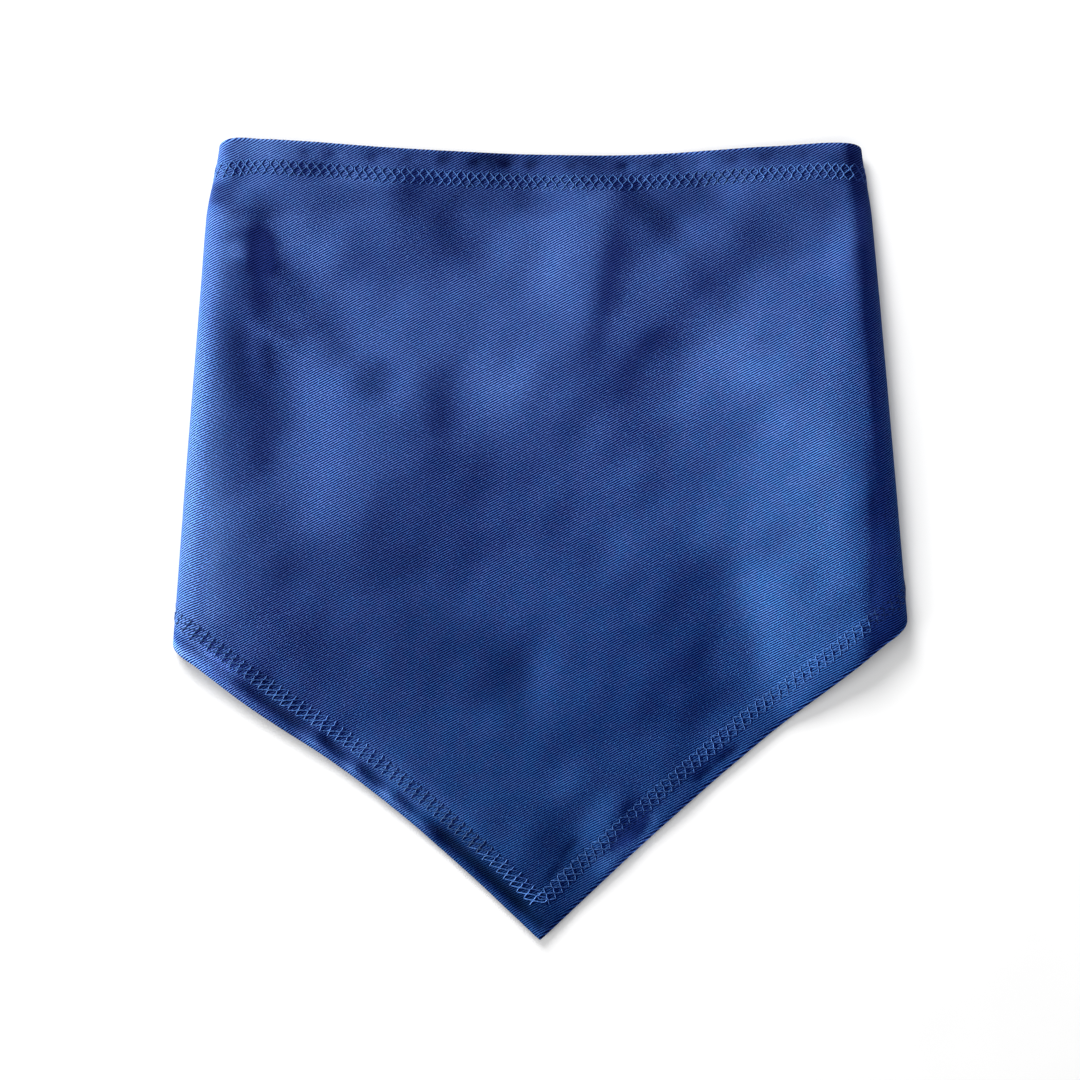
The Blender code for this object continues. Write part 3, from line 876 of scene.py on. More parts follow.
@dataclass(frozen=True)
class TwillFinish:
    """One side of the blue twill. A pair is for plain lines and for crisp ones, or else a span."""

    name: str
    gap: tuple = (0.0012, 0.0042, 0.048, 1.0)  # shadowed weft between the lines
    deep_gap_painted_shade: tuple = (0.0003, 0.0012, 0.018, 1.0)  # painted shade between the lines, darker where the lines stand crisper
    cobalt: tuple = (0.012, 0.054, 0.207, 1.0)  # yarn of the lines, toward the lower right
    lavender: tuple = (0.0264, 0.0534, 0.204, 1.0)  # and where it is painted redder, as a cast of the light
    cool_top: tuple = (0.055, 0.160, 0.375, 1.0)  # painted highlight on the top of a float, in each
    warm_top: tuple = (0.083, 0.156, 0.372, 1.0)
    spacing: float = 0.000688
    slant: float = 27.5
    float_length: float = 0.00125
    waver: float = 0.00014
    redder_way: tuple = (-0.17, 0.25, 0.0)  # direction over the cut in which the colour is painted redder, as a cast of the light
    redder_span: tuple = (-0.032, 0.018)  # stretch of it from cobalt to lavender
    redder_patch: float = 0.25  # how far patches of dye shift that
    crispness: float = 1.0  # how much crisper the lines look in the middle of the panel: deeper painted shade and brighter painted highlight, as raking light gives, and a higher bump
    right_crispness: float = 0.7  # share of that at its right side
    crisp_from_tip: tuple = (-0.100, -0.010)  # t over which crispness comes in
    crisp_from_neck: tuple = (0.118, 0.050)
    crisp_across: tuple = (-0.09, 0.09)  # s over which it falls to its share at the right
    line_foot: tuple = (0.30, 0.64)  # height of the weave at which the lines' yarn starts
    line_full: float = 0.98
    top_foot: tuple = (0.66, 0.85)  # and at which its painted highlight does
    top_full: float = 0.99
    gain: tuple = (0.93, 1.5)  # brightness; crisp lines are narrower
    float_tint: tuple = (0.82, 1.0)  # span of brightness of the floats' tops
    slub_tint: float = 0.22
    painted_shading_span: tuple = (0.4, 1.6)  # span of painted light and shade over which the colour changes
    painted_shading_saturation: tuple = (1.06, 0.96)
    painted_shading_hue: tuple = (0.508, 0.495)
    bump: float = 0.65
    depth: float = 0.00016
    line_relief: tuple = (0.70, 1.30)
    slub_relief: float = 0.3
    # painted shade in the stitch grooves: share of the colour left in them
    groove_painted_shade: float = 0.90
    groove_depth: float = 0.9  # of the stitch grooves, in heights of the twill's lines
    roughness: tuple = (0.70, 0.86)
    specular: float = 0.004
    sheen: float = 0.012
    sheen_roughness: float = 0.45
    sheen_tint: tuple = (0.45, 0.60, 1.0, 1.0)

    def crisp_share(self, n: NodeTree, cut: Socket) -> Socket:
        """How crisp the lines stand at a place on the cut, from 0 to 1; it deepens their painted
        shade and highlight.
        """
        place = n.split(cut)
        above = n.step(place["Y"], *self.crisp_from_tip)
        below = n.step(place["Y"], *self.crisp_from_neck)
        across = n.step(place["X"], *self.crisp_across)
        across = n.scale(across, self.crispness, self.right_crispness * self.crispness)
        return n.times(n.times(above, below), across)

    def colour(
        self, n: NodeTree, cut: Socket, twill: dict, mottle: dict, crisp: Socket
    ) -> Socket:
        """Colour of the yarns, with painted shade and highlight on the weave, before the painted
        shading.

        Args:
            n: node helper.
            cut: place on the cut.
            twill: outputs of the weave.
            mottle: outputs of the mottle.
            crisp: how crisp the lines stand.

        Returns:
            Its socket.
        """
        cast = n.add("ShaderNodeVectorMath", {0: cut, 1: self.redder_way}, operation="DOT_PRODUCT")
        cast = n.step(cast.outputs["Value"], *self.redder_span)
        cast = n.plus(cast, n.scale(mottle["Patch"], -self.redder_patch, self.redder_patch))
        yarn = n.mix(cast, self.cobalt, self.lavender)
        highlight = n.mix(cast, self.cool_top, self.warm_top)
        rise = n.step(twill["Height"], n.scale(crisp, *self.line_foot), self.line_full)
        colour = n.mix(rise, n.mix(crisp, self.gap, self.deep_gap_painted_shade), yarn)
        top = n.step(twill["Height"], n.scale(crisp, *self.top_foot), self.top_full)
        top = n.times(top, n.scale(twill["Yarn"], *self.float_tint))
        colour = n.mix(top, colour, highlight)
        return n.mix(n.times(mottle["Slub"], self.slub_tint), colour, highlight)

    def build(self, weaves: Weaves) -> Material:
        """Make the material.

        Args:
            weaves: shared node groups.

        Returns:
            The material.
        """
        material, n, shader = start_material(self.name)
        cut = n.add("ShaderNodeUVMap", uv_map="cut").outputs[0]
        weave = {
            "Map": cut,
            "Spacing": self.spacing,
            "Slant": math.radians(self.slant),
            "Float Length": self.float_length,
            "Waver": self.waver,
        }
        twill = n.group(weaves.twill, weave)
        mottle = n.group(weaves.mottle, {"Map": cut})
        groove = n.group(weaves.seam, {"Seam": n.attribute("seam", "Vector")})["Groove"]
        crisp = self.crisp_share(n, cut)
        # painted light and shade, with painted shade in the stitch grooves
        painted_shading = n.times(n.attribute("painted_shading", "Fac"), n.scale(groove, 1.0, self.groove_painted_shade))
        shaded = n.add(
            "ShaderNodeHueSaturation",
            {
                "Hue": n.remap(painted_shading, self.painted_shading_span, self.painted_shading_hue),
                "Saturation": n.remap(painted_shading, self.painted_shading_span, self.painted_shading_saturation),
                "Value": n.times(painted_shading, n.scale(crisp, *self.gain)),
                "Color": self.colour(n, cut, twill, mottle, crisp),
            },
        )
        relief = n.times(twill["Height"], n.scale(crisp, *self.line_relief))
        slubs = n.times(mottle["Slub"], self.slub_relief)
        fuzz = n.minus(slubs, n.times(groove, self.groove_depth))
        look = {
            "Base Color": shaded.outputs[0],
            "Roughness": n.scale(twill["Yarn"], *self.roughness),
            "Normal": n.bump(self.bump, self.depth, n.plus(relief, fuzz)),
            "Specular IOR Level": self.specular,
            "Sheen Weight": self.sheen,
            "Sheen Roughness": self.sheen_roughness,
            "Sheen Tint": self.sheen_tint,
        }
        n.fill(shader, look)
        return material


@dataclass(frozen=True)
class ThreadFinish:
    """Sewing thread, a little lighter than the cloth, with a twisted ply."""

    name: str = "thread"
    dark: tuple = (0.022, 0.064, 0.200, 1.0)
    light: tuple = (0.062, 0.145, 0.350, 1.0)
    ply_scale: float = 2600.0
    ply_depth: float = 0.00008
    bump: float = 0.4
    roughness: tuple = (0.55, 0.42)
    specular: float = 0.09

    def build(self) -> Material:
        """Make the material."""
        material, n, shader = start_material(self.name)
        place = n.add("ShaderNodeTexCoord").outputs["Object"]
        tone = n.step(n.noise(place, self.ply_scale, space="3D"), 0.35, 0.65)
        # the thread's tone, lightened and darkened by the cloth's painted shading
        dye_and_painted_shading = {"Color": n.mix(tone, self.dark, self.light), "Value": n.attribute("painted_shading", "Fac")}
        look = {
            "Base Color": n.add("ShaderNodeHueSaturation", dye_and_painted_shading).outputs[0],
            "Roughness": n.scale(tone, *self.roughness),
            "Normal": n.bump(self.bump, self.ply_depth, tone),
            "Specular IOR Level": self.specular,
        }
        n.fill(shader, look)
        return material


@dataclass(frozen=True)
class FloorFinish:
    """Plain pale surface with the faintest grain."""

    name: str = "pale_floor"
    low: tuple = (0.86, 0.86, 0.86, 1.0)
    high: tuple = (0.90, 0.90, 0.90, 1.0)
    grain_scale: float = 30.0
    roughness: float = 0.95

    def build(self) -> Material:
        """Make the material."""
        material, n, shader = start_material(self.name)
        place = n.add("ShaderNodeTexCoord").outputs["Object"]
        grain = n.noise(place, self.grain_scale, 2.0, space="3D")
        look = {
            "Base Color": n.mix(grain, self.low, self.high),
            "Roughness": self.roughness,
            "Specular IOR Level": 0.0,
        }
        n.fill(shader, look)
        return material


# --- cloth pieces --------------------------------------------------------------------------------


def add_object(name: str, data: bpy.types.ID) -> Object:
    """Make an object of some data, in the scene."""
    obj = bpy.data.objects.new(name, data)
    bpy.context.scene.collection.objects.link(obj)
    return obj


@dataclass(frozen=True)
class EdgeLip:
    """Turned edge: the cloth's last stretch goes round a quarter turn, over its hem."""

    radius: float = 0.55
    turn: float = 105.0  # degrees that it goes round
    steps: int = 4

    def profile(self, wall: float) -> tuple[Array, Array]:
        """Section of the lip.

        Args:
            wall: thickness of the cloth.

        Returns:
            How far each row lies in from the edge, and how far it drops, from the rim inward.
        """
        turn = np.radians(np.linspace(self.turn, 0.0, self.steps + 1))
        inset = 0.5 * wall + self.radius * (1.0 - np.sin(turn))
        return inset, self.radius * (1.0 - np.cos(turn))


@dataclass
class HoneycombStitch:
    """Row of honeycomb stitches along an edge: wavy threads that touch mirrored neighbours."""

    cloth: LaidCloth
    edge: Edge
    shear: float  # degrees that the threads lean along the band
    s_from: float  # where the row starts and stops on the front
    s_to: float
    end_from: float  # and where it starts on a tie end, out from the middle
    end_to: float = 283.0
    inset: float = 8.8  # middle of the band, in from the edge
    width: float = 5.5
    pitch: float = 2.95
    radius: float = 0.15
    rise: float = 0.06  # height of the thread's middle above the cloth's face
    dip: float = 0.25  # how deep its ends go in
    arch: float = 0.35  # lower makes it stand up sooner after its ends
    overlap: float = 0.05  # how much higher every second thread lies
    swing_scatter: float = 0.07  # spread of a thread's waves, as a share
    shift_scatter: float = 0.05  # of its place along the band
    point_scatter: float = 0.04  # of each of its points
    width_scatter: float = 0.04  # of the band's width, as a share
    inset_scatter: float = 0.06  # of the band's place
    face: float = 0.4  # height of the cloth's face above its middle
    back: float = 1.45  # depth of the hem's back below it
    steps: int = 12
    seed: int = 3
    ease: float = 16.0  # stretch of the edge over which the row rounds off its corners

    def __post_init__(self) -> None:
        """Lay out the line of the edge, its lengths and its inward direction."""
        start = -self.cloth.tie_tip_s if self.edge is not Edge.V_RIGHT else 0.0
        stop = self.cloth.tie_tip_s if self.edge is not Edge.V_LEFT else 0.0
        edge = self.cloth.top_edge if self.edge is Edge.NECK else self.cloth.lower_edge
        s = np.linspace(start, stop, RAIL_STEPS)
        reach = round(self.ease / (s[1] - s[0]))
        share = np.hanning(2 * reach + 3)[1:-1]
        t = np.pad(edge(s), reach, mode="reflect", reflect_type="odd")
        t = np.convolve(t, share / share.sum(), mode="valid")
        self.line = np.stack([s, t], axis=-1)
        lengths = np.linalg.norm(np.diff(self.line, axis=0), axis=1)
        self.along = np.concatenate([[0.0], np.cumsum(lengths)])
        tangent = np.gradient(self.line, axis=0)
        self.tangent = tangent / np.linalg.norm(tangent, axis=1, keepdims=True)
        up = 1.0 if self.edge is not Edge.NECK else -1.0
        self.inward = np.stack([-self.tangent[:, 1], self.tangent[:, 0]], axis=-1) * up

    def on_rail(self, u: Array, values: Array) -> Array:
        """Read pairs of values of the rail at distances u along it."""
        return np.stack([np.interp(u, self.along, values[:, axis]) for axis in (0, 1)], axis=-1)

    def reach(self, s_from: float, s_to: float) -> tuple[float, float]:
        """Distances along the edge of two places on it."""
        return tuple(np.interp((s_from, s_to), self.line[:, 0], self.along))

    def unroll(self, s: Array, t: Array) -> Array:
        """Find where points of the cut lie beside the row.

        Args:
            s: places along the neck edge.
            t: places up from the tip.

        Returns:
            (..., 3): distance along the edge, distance in from it, and the threads' lean. Where the
            row has no stitches, the second is 0.
        """
        u = np.interp(s, self.line[:, 0], self.along)
        v = np.zeros_like(u)
        for _ in range(SOLVE_STEPS):
            off = np.stack([s, t], axis=-1) - self.on_rail(u, self.line)
            u = u + np.sum(off * self.on_rail(u, self.tangent), axis=-1)
            v = np.sum(off * self.on_rail(u, self.inward), axis=-1)
        low, high = self.reach(self.s_from, self.s_to)
        v = np.where((u < low - self.pitch) | (u > high + self.pitch), 0.0, v)
        lean = np.full_like(u, math.tan(math.radians(self.shear)))
        return np.stack([u, v, lean], axis=-1)

    def threads(self, s_from: float, s_to: float, side: float = 1.0) -> list:
        """Paths of the threads.

        Args:
            s_from: where the row starts on the edge.
            s_to: where it stops.
            side: 1 on the face side, -1 behind the hem.

        Returns:
            Arrays (steps, 4) of points in metres, each with the cloth's painted shading there.
        """
        low, high = self.reach(s_from, s_to)
        cells = np.repeat(np.arange(math.ceil(low / self.pitch), int(high / self.pitch)), 2)
        count = len(cells)
        mirrored = np.where(np.arange(count) % 2, -1.0, 1.0)[:, None]
        rng = np.random.default_rng(self.seed)
        share = np.linspace(0.0, 1.0, self.steps + 1)
        across = self.width * (0.5 - share)
        wave = 0.25 * (self.pitch - 2.0 * self.radius) * (1.0 - np.cos(3.0 * np.pi * share))
        swing = 1.0 + rng.normal(0.0, self.swing_scatter, (count, 1))
        u = (cells[:, None] + 0.5) * self.pitch + mirrored * (wave * swing + self.radius)
        u = u + math.tan(math.radians(self.shear)) * across
        shift = rng.normal(0.0, self.shift_scatter, (count, 1))
        u = u + shift + rng.normal(0.0, self.point_scatter, u.shape)
        v = self.inset + across * (1.0 + rng.normal(0.0, self.width_scatter, (count, 1)))
        v = v + rng.normal(0.0, self.inset_scatter, (count, 1))
        arch = np.sin(np.pi * share) ** self.arch * (self.rise + self.dip) - self.dip
        over = arch + np.where(mirrored > 0.0, self.overlap, 0.0)
        place = self.on_rail(u, self.line) + v[..., None] * self.on_rail(u, self.inward)
        height = self.face + over if side > 0.0 else -self.back - over
        points = self.cloth.offset(place[..., 0], place[..., 1], height) * MM
        tint = self.cloth.painted_shading(place[..., 0], place[..., 1])
        return list(np.concatenate([points, tint[..., None]], axis=-1))

    def on_front(self) -> list:
        """Paths of the threads on the front, above and behind its hem."""
        return self.threads(self.s_from, self.s_to) + self.threads(self.s_from, self.s_to, -1.0)

    def on_end(self, side: Side) -> list:
        """Paths of the threads on a tie end, none where this edge doesn't reach it."""
        if self.edge is not Edge.NECK and (self.edge is Edge.V_LEFT) != (side is Side.LEFT):
            return []
        return self.threads(*sorted((side.value * self.end_from, side.value * self.end_to)))


def sew(name: str, paths: list, radius: float, finish: Material) -> Object:
    """Make the threads of some rows.

    Args:
        name: name of the piece.
        paths: points of each thread, with the cloth's painted shading there.
        radius: of the thread.
        finish: its material.

    Returns:
        One mesh of all of them.
    """
    curve = bpy.data.curves.new(name, "CURVE")
    curve.dimensions = "3D"
    curve.bevel_depth = radius * MM
    curve.bevel_resolution = 1
    curve.use_fill_caps = True
    for path in paths:
        spline = curve.splines.new("POLY")
        spline.points.add(len(path) - 1)
        flat = np.concatenate([path[:, :3], np.ones((len(path), 1))], axis=1)
        spline.points.foreach_set("co", flat.ravel())
    rope = add_object(f"{name}_path", curve)
    bpy.context.view_layer.update()
    graph = bpy.context.evaluated_depsgraph_get()
    mesh = bpy.data.meshes.new_from_object(rope.evaluated_get(graph))
    bpy.data.objects.remove(rope)
    mesh.name = name
    mesh.materials.clear()
    mesh.materials.append(finish)
    mesh.polygons.foreach_set("use_smooth", [True] * len(mesh.polygons))
    tints = [path[:, 3].mean() for path in paths]
    painted_shading = mesh.attributes.new("painted_shading", "FLOAT", "POINT")
    painted_shading.data.foreach_set("value", np.repeat(tints, len(mesh.vertices) // len(paths)))
    return add_object(name, mesh)


def beside_rows(rows: tuple, s: Array, t: Array) -> Array:
    """Where points of the cut lie beside the nearest row of stitches, in metres, with its lean."""
    beside = np.zeros((*s.shape, 3))
    nearest = np.full(s.shape, np.inf)
    for row in rows:
        found = row.unroll(s, t)
        closer = found[..., 1] < nearest
        beside[closer] = found[closer]
        nearest = np.where(closer, found[..., 1], nearest)
    beside[..., :2] *= MM
    return beside


@dataclass(frozen=True)
class ClothShell:
    """A thin shell of cloth over a stretch of the cut, as columns by rows of points."""

    name: str
    cloth: LaidCloth
    wall: float  # thickness
    middle: float = 0.0  # height of the shell's middle above the cloth's
    edge_round: float = 0.25
    edge_angle: float = 50.0  # degrees past which an edge is rounded

    def build(
        self,
        s: Array,
        t: Array,
        drop: Array,
        finishes: tuple,
        turned: Array | None = None,
        stitches: tuple = (),
    ) -> Object:
        """Make the shell.

        Args:
            s: columns by rows of places along the neck edge.
            t: the same for places up from the tip.
            drop: how far each point is turned down behind the shell's middle.
            finishes: materials of its face side and of its wrong side.
            turned: t to map the weave by, where the cloth is turned over at an edge.
            stitches: rows of stitches that draw it in.

        Returns:
            The object.
        """
        points = self.cloth.offset(s, t, self.middle - drop) * MM
        columns, rows = s.shape
        flat = np.stack([s, t if turned is None else turned], axis=-1).reshape(-1, 2) * MM
        bm = bmesh.new()
        bmesh.ops.create_grid(bm, x_segments=rows - 1, y_segments=columns - 1, size=1.0)
        for vert, point in zip(bm.verts, points.reshape(-1, 3)):
            vert.co = point
        bmesh.ops.reverse_faces(bm, faces=bm.faces)
        cut = bm.loops.layers.uv.new("cut")
        bm.verts.index_update()
        attributes = (
            ("float", "painted_shading", self.cloth.painted_shading(s, t).ravel()),
            ("float_vector", "seam", beside_rows(stitches, s, t).reshape(-1, 3)),
        )
        for kind, name, values in attributes:
            layer = getattr(bm.verts.layers, kind).new(name)
            for vert, value in zip(bm.verts, values):
                vert[layer] = value
        for face in bm.faces:
            face.smooth = True
            for loop in face.loops:
                loop[cut].uv = flat[loop.vert.index]
        mesh = bpy.data.meshes.new(self.name)
        bm.to_mesh(mesh)
        bm.free()
        for finish in finishes:
            mesh.materials.append(finish)
        obj = add_object(self.name, mesh)
        thicken = obj.modifiers.new("wall", "SOLIDIFY")
        thicken.thickness = self.wall * MM
        thicken.offset = 0.0
        thicken.material_offset = len(finishes) - 1
        soften = obj.modifiers.new("edge", "BEVEL")
        soften.width = self.edge_round * MM
        soften.segments = 2
        soften.limit_method = "ANGLE"
        soften.angle_limit = math.radians(self.edge_angle)
        return obj


def lay_columns(
    cloth: LaidCloth, positions: Array, lip: EdgeLip, wall: float, shares: Array
) -> tuple[Array, Array, Array]:
    """Lay out columns that run from one edge of the cut to the other, with a lip at both.

    Args:
        cloth: the cloth.
        positions: where its columns are.
        lip: shape of its turned edges.
        wall: its thickness.
        shares: rows between the lips, as shares of the way up.

    Returns:
        s and t as columns by rows, and how far each row drops.
    """
    inset, lip_drop = lip.profile(wall)
    low_inset = inset / math.cos(math.radians(cloth.cut_slope))
    columns = []
    for position in positions:
        low_rows = cloth.meet(position, cloth.lower_edge) + low_inset
        top_rows = (cloth.meet(position, cloth.top_edge) - inset)[::-1]
        between = low_rows[-1] + shares * (top_rows[0] - low_rows[-1])
        rows = np.concatenate([low_rows, between, top_rows])
        columns.append(cloth.on_column(position, rows))
    s, t = np.array(columns).swapaxes(0, 1)
    return s, t, np.concatenate([lip_drop, np.zeros(len(shares)), lip_drop[::-1]])


@dataclass
class FrontPanel:
    """Visible front of the bandana, with a lap beneath at each side roll."""

    cloth: LaidCloth
    finishes: tuple
    stitches: tuple  # rows that draw it in
    wall: float = 0.8
    face_columns: int = 148
    roll_columns: int = 14
    lap_columns: int = 4
    rows: int = 176
    crowd: float = 0.6  # how much closer the rows stand toward the edges
    lip: EdgeLip = field(default_factory=EdgeLip)

    def positions(self) -> Array:
        """Positions of the columns, from the end of the left lap to the end of the right one."""
        tip = self.cloth.tip_position()
        rolled = np.linspace(0.0, 1.0, self.roll_columns + 1)[1:]
        lapped = 1.0 + np.linspace(0.0, 1.0, self.lap_columns + 1)[1:]
        turned = np.concatenate([rolled, lapped])
        left = np.linspace(0.0, tip, self.face_columns // 2 + 1)
        right = np.linspace(tip, 1.0, self.face_columns // 2 + 1)[1:]
        return np.concatenate([-turned[::-1], left, right, 1.0 + turned])

    def build(self) -> Object:
        """Make the panel."""
        shares = np.linspace(0.0, 1.0, self.rows + 1)[1:-1]
        shares = shares - self.crowd * np.sin(2.0 * np.pi * shares) / (2.0 * np.pi)
        s, t, drop = lay_columns(self.cloth, self.positions(), self.lip, self.wall, shares)
        drop = np.broadcast_to(drop, s.shape)
        shell = ClothShell("front_panel", self.cloth, self.wall)
        return shell.build(s, t, drop, self.finishes, stitches=self.stitches)


@dataclass
class TurnedHem:
    """Turned allowance behind one edge of the front."""

    cloth: LaidCloth
    edge: Edge
    finishes: tuple
    positions: Array
    width: float = 11.0
    wall: float = 1.0
    middle: float = -0.95
    outer: float = 0.95  # how far its outer edge lies in from the cloth's edge
    rows: int = 7

    def build(self) -> Object:
        """Make the hem."""
        cloth = self.cloth
        neck = self.edge is Edge.NECK
        edge = cloth.top_edge if neck else cloth.lower_edge
        slant = 1.0 if neck else 1.0 / math.cos(math.radians(cloth.cut_slope))
        insets = np.linspace(self.outer, self.width, self.rows + 1) * slant
        columns = []
        for position in self.positions:
            foot = cloth.meet(position, edge)
            rows = (foot - insets)[::-1] if neck else foot + insets
            columns.append(cloth.on_column(position, rows))
        s, t = np.array(columns).swapaxes(0, 1)
        shell = ClothShell(f"hem_{self.edge.value}", cloth, self.wall, self.middle)
        return shell.build(s, t, np.zeros_like(s), self.finishes, 2.0 * edge(s) - t)


@dataclass
class TieEnd:
    """Tie end folded beneath the bandana, face side down."""

    cloth: LaidCloth
    fold: SideFold
    finishes: tuple
    wall: float = 0.8
    columns: int = 96
    rows: int = 84
    seam: float = 0.02  # gap between it and the front's lap
    neck_y: float = 118.0  # y at which its length is measured
    lip: EdgeLip = field(default_factory=EdgeLip)

    def build(self) -> Object:
        """Make the tie end."""
        cloth = self.cloth
        side = self.fold.side
        start = abs(float(self.fold.start(self.neck_y, cloth.top_y)))
        half_turn = float(cloth.roll_section(self.fold, self.neck_y)[2])
        length = (cloth.tie_tip_s - start) / abs(self.fold.outward()[0]) - half_turn - cloth.lap
        inset, lip_drop = (values[::-1] for values in self.lip.profile(self.wall))
        runs = np.linspace(0.0, length - inset[0], self.columns)
        runs = np.concatenate([runs, length - inset[1:]])
        root = 2.0 + self.seam
        positions = -(root + runs) if side is Side.LEFT else 1.0 + root + runs
        shares = np.linspace(0.0, 1.0, self.rows + 1)[1:-1]
        s, t, row_drop = lay_columns(cloth, positions, self.lip, self.wall, shares)
        tip_drop = np.concatenate([np.zeros(self.columns), lip_drop[1:]])
        drop = np.maximum(row_drop[None, :], tip_drop[:, None])
        if side is Side.LEFT:
            s, t, drop = s[::-1], t[::-1], drop[::-1]
        shell = ClothShell(f"tie_end_{side.name.lower()}", cloth, self.wall)
        return shell.build(s, t, drop, self.finishes)


# --- studio --------------------------------------------------------------------------------------


@dataclass(frozen=True)
class SoftLight:
    """Area light aimed at the middle of the bandana."""

    name: str
    bearing: float  # degrees, where it stands, anticlockwise from +X
    elevation: float
    distance: float
    width: float
    height: float
    power: float
    colour: tuple = (1.0, 1.0, 1.0)

    def build(self, lights_only: bpy.types.Collection) -> Object:
        """Make the light.

        Args:
            lights_only: collection of the objects that it lights.

        Returns:
            The light.
        """
        data = bpy.data.lights.new(self.name, "AREA")
        data.shape = "RECTANGLE"
        data.size = self.width
        data.size_y = self.height
        data.energy = self.power
        data.color = self.colour
        light = add_object(self.name, data)
        bearing, elevation = math.radians(self.bearing), math.radians(self.elevation)
        flat = math.cos(elevation)
        away = Vector((flat * math.cos(bearing), flat * math.sin(bearing), math.sin(elevation)))
        light.location = away * self.distance
        light.rotation_euler = away.to_track_quat("Z", "Y").to_euler()
        light.light_linking.receiver_collection = lights_only
        return light


CLOTH_LIGHTS = (
    SoftLight("window", 163.0, 11.0, 3.0, 1.0, 0.30, 468.0, (1.0, 1.05, 0.97)),
    SoftLight("sky", 0.0, 90.0, 2.0, 3.0, 3.0, 26.0, (0.317, 0.330, 1.0)),
)
FLOOR_LIGHTS = (
    SoftLight("floor_key", 114.0, 38.0, 1.6, 0.75, 0.75, 26.5),
    SoftLight("floor_side", 205.0, 35.0, 1.6, 0.55, 0.55, 6.5),
    SoftLight("floor_fill", 0.0, 90.0, 1.6, 1.6, 1.6, 15.5),
)


@dataclass
class Studio:
    """Pale floor, soft lights and the camera straight above."""

    floor_size: float = 6.0
    floor_level: float = -0.0002  # the stitches beneath stand on it
    camera_height: float = 1.2
    camera_clip: float = 0.01
    view_width: float = 0.3402
    view_level: float = 0.008
    sensor: float = 36.0
    world: float = 0.10

    def lay_floor(self) -> Object:
        """Make the floor."""
        bm = bmesh.new()
        bmesh.ops.create_grid(bm, x_segments=1, y_segments=1, size=0.5 * self.floor_size)
        mesh = bpy.data.meshes.new("floor")
        bm.to_mesh(mesh)
        bm.free()
        mesh.materials.append(FloorFinish().build())
        for vert in mesh.vertices:
            vert.co.z = self.floor_level
        return add_object("floor", mesh)

    def light(self, name: str, lights: tuple, objects: list) -> None:
        """Light some objects.

        Args:
            name: of their collection.
            lights: the lights, which light nothing else.
            objects: what they light.
        """
        lit = bpy.data.collections.new(name)
        for obj in objects:
            lit.objects.link(obj)
        for light in lights:
            light.build(lit)

    def build(self, cloth_pieces: list) -> Object:
        """Make the studio.

        Args:
            cloth_pieces: pieces of the bandana, which have lights of their own.

        Returns:
            The floor.
        """
        floor = self.lay_floor()
        self.light("lit_by_window", CLOTH_LIGHTS, cloth_pieces)
        self.light("lit_by_lamps", FLOOR_LIGHTS, [floor])
        world = bpy.data.worlds.new("studio")
        world.use_nodes = True
        background = world.node_tree.nodes["Background"]
        background.inputs["Color"].default_value = (1.0, 1.0, 1.0, 1.0)
        background.inputs["Strength"].default_value = self.world
        scene = bpy.context.scene
        scene.world = world
        data = bpy.data.cameras.new("camera")
        data.sensor_width = self.sensor
        data.lens = self.sensor * (self.camera_height - self.view_level) / self.view_width
        data.clip_start = self.camera_clip
        camera = add_object("camera", data)
        camera.location = (0.0, 0.0, self.camera_height)
        scene.camera = camera
        scene.view_settings.view_transform = "Standard"
        return floor


# --- bandana -------------------------------------------------------------------------------------

WRONG_SIDE = TwillFinish(
    "twill_wrong_side",
    gap=(0.009, 0.020, 0.080, 1.0),
    cobalt=(0.023, 0.048, 0.150, 1.0),
    lavender=(0.028, 0.050, 0.150, 1.0),
    cool_top=(0.054, 0.095, 0.225, 1.0),
    warm_top=(0.065, 0.094, 0.225, 1.0),
    crispness=0.0,
    bump=0.3,
)
HEM_NODES = dict(zip(Edge, ("hem_top", "hem_lower_left", "hem_lower_right")))
HEM_CLEAR = 0.0006  # half the gap of the lower hems at the tip, as a share of the front's width


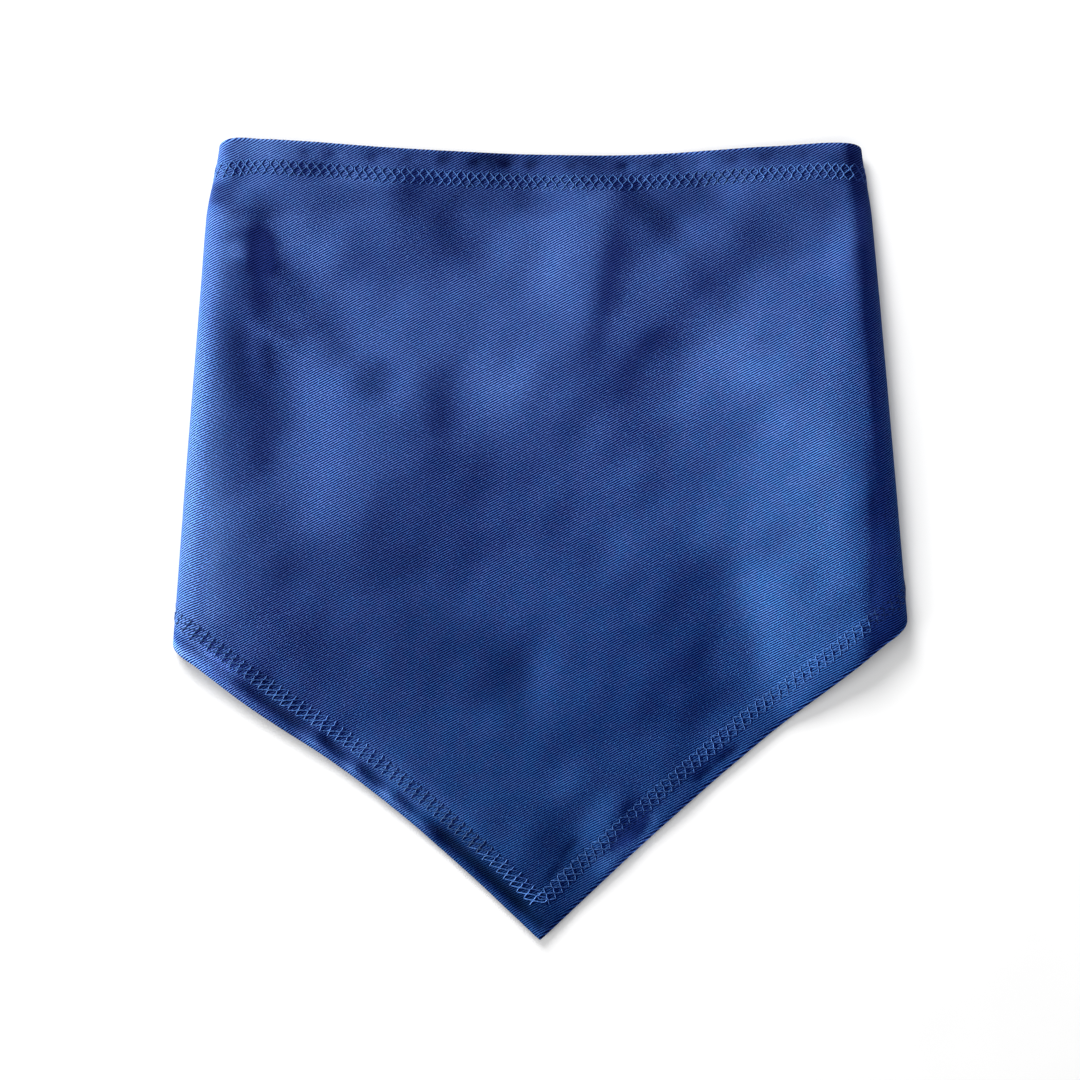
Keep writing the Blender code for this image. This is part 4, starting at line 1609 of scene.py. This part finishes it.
def report(obj: Object, nodes: tuple) -> None:
    """Fasten a piece to the body, hide the solids it stands for, and log it.

    Args:
        obj: the piece.
        nodes: CAD nodes that it replaces.
    """
    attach(obj, BODY)
    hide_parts(*nodes)
    LOG.info("%s: %d faces, for %s", obj.name, len(obj.data.polygons), ", ".join(nodes))


def hem_columns(panel: FrontPanel) -> dict:
    """Positions of the columns of each hem, so that they stand under the panel's."""
    positions = panel.positions()
    tip = panel.cloth.tip_position()
    left, right = tip - HEM_CLEAR, tip + HEM_CLEAR
    return {
        Edge.NECK: positions,
        Edge.V_LEFT: np.append(positions[positions < left], left),
        Edge.V_RIGHT: np.insert(positions[positions > right], 0, right),
    }


def main() -> None:
    """Build the bandana and its studio."""
    logging.basicConfig(level=logging.INFO, format="%(name)s: %(message)s")
    weaves = Weaves(build_twill_group(), build_mottle_group(), build_seam_group())
    face = TwillFinish("twill_face_side").build(weaves)
    back = WRONG_SIDE.build(weaves)
    thread = ThreadFinish().build()
    cloth = LaidCloth()
    bands = (
        HoneycombStitch(cloth, Edge.NECK, 0.0, -119.0, 119.0, 121.0),
        HoneycombStitch(cloth, Edge.V_LEFT, 38.0, -129.0, -5.5, 133.0),
        HoneycombStitch(cloth, Edge.V_RIGHT, -18.0, 5.0, 129.0, 133.0),
    )

    panel = FrontPanel(cloth, (face, back), bands)
    front = panel.build()
    report(front, ("front",))
    hems = []
    for edge, columns in hem_columns(panel).items():
        hem = TurnedHem(cloth, edge, (back, face), columns).build()
        report(hem, (HEM_NODES[edge],))
        hems.append(hem)
    ends = {}
    for fold in (LEFT_FOLD, RIGHT_FOLD):
        end = TieEnd(cloth, fold, (face, back)).build()
        report(end, ("folded_ends",))
        ends[fold.side] = end

    front_rows = []
    for band in bands:
        row = sew(f"stitch_{band.edge.value}", band.on_front(), band.radius, thread)
        front_rows.append(row)
    end_rows = {}
    for side in Side:
        paths = [path for band in bands for path in band.on_end(side)]
        end_rows[side] = sew(f"stitch_end_{side.name.lower()}", paths, bands[0].radius, thread)
    rows = [*front_rows, *end_rows.values()]
    for row in rows:
        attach(row, BODY)
    floor = Studio().build([front, *hems, *ends.values(), *rows])


if __name__ == "__main__":
    main()
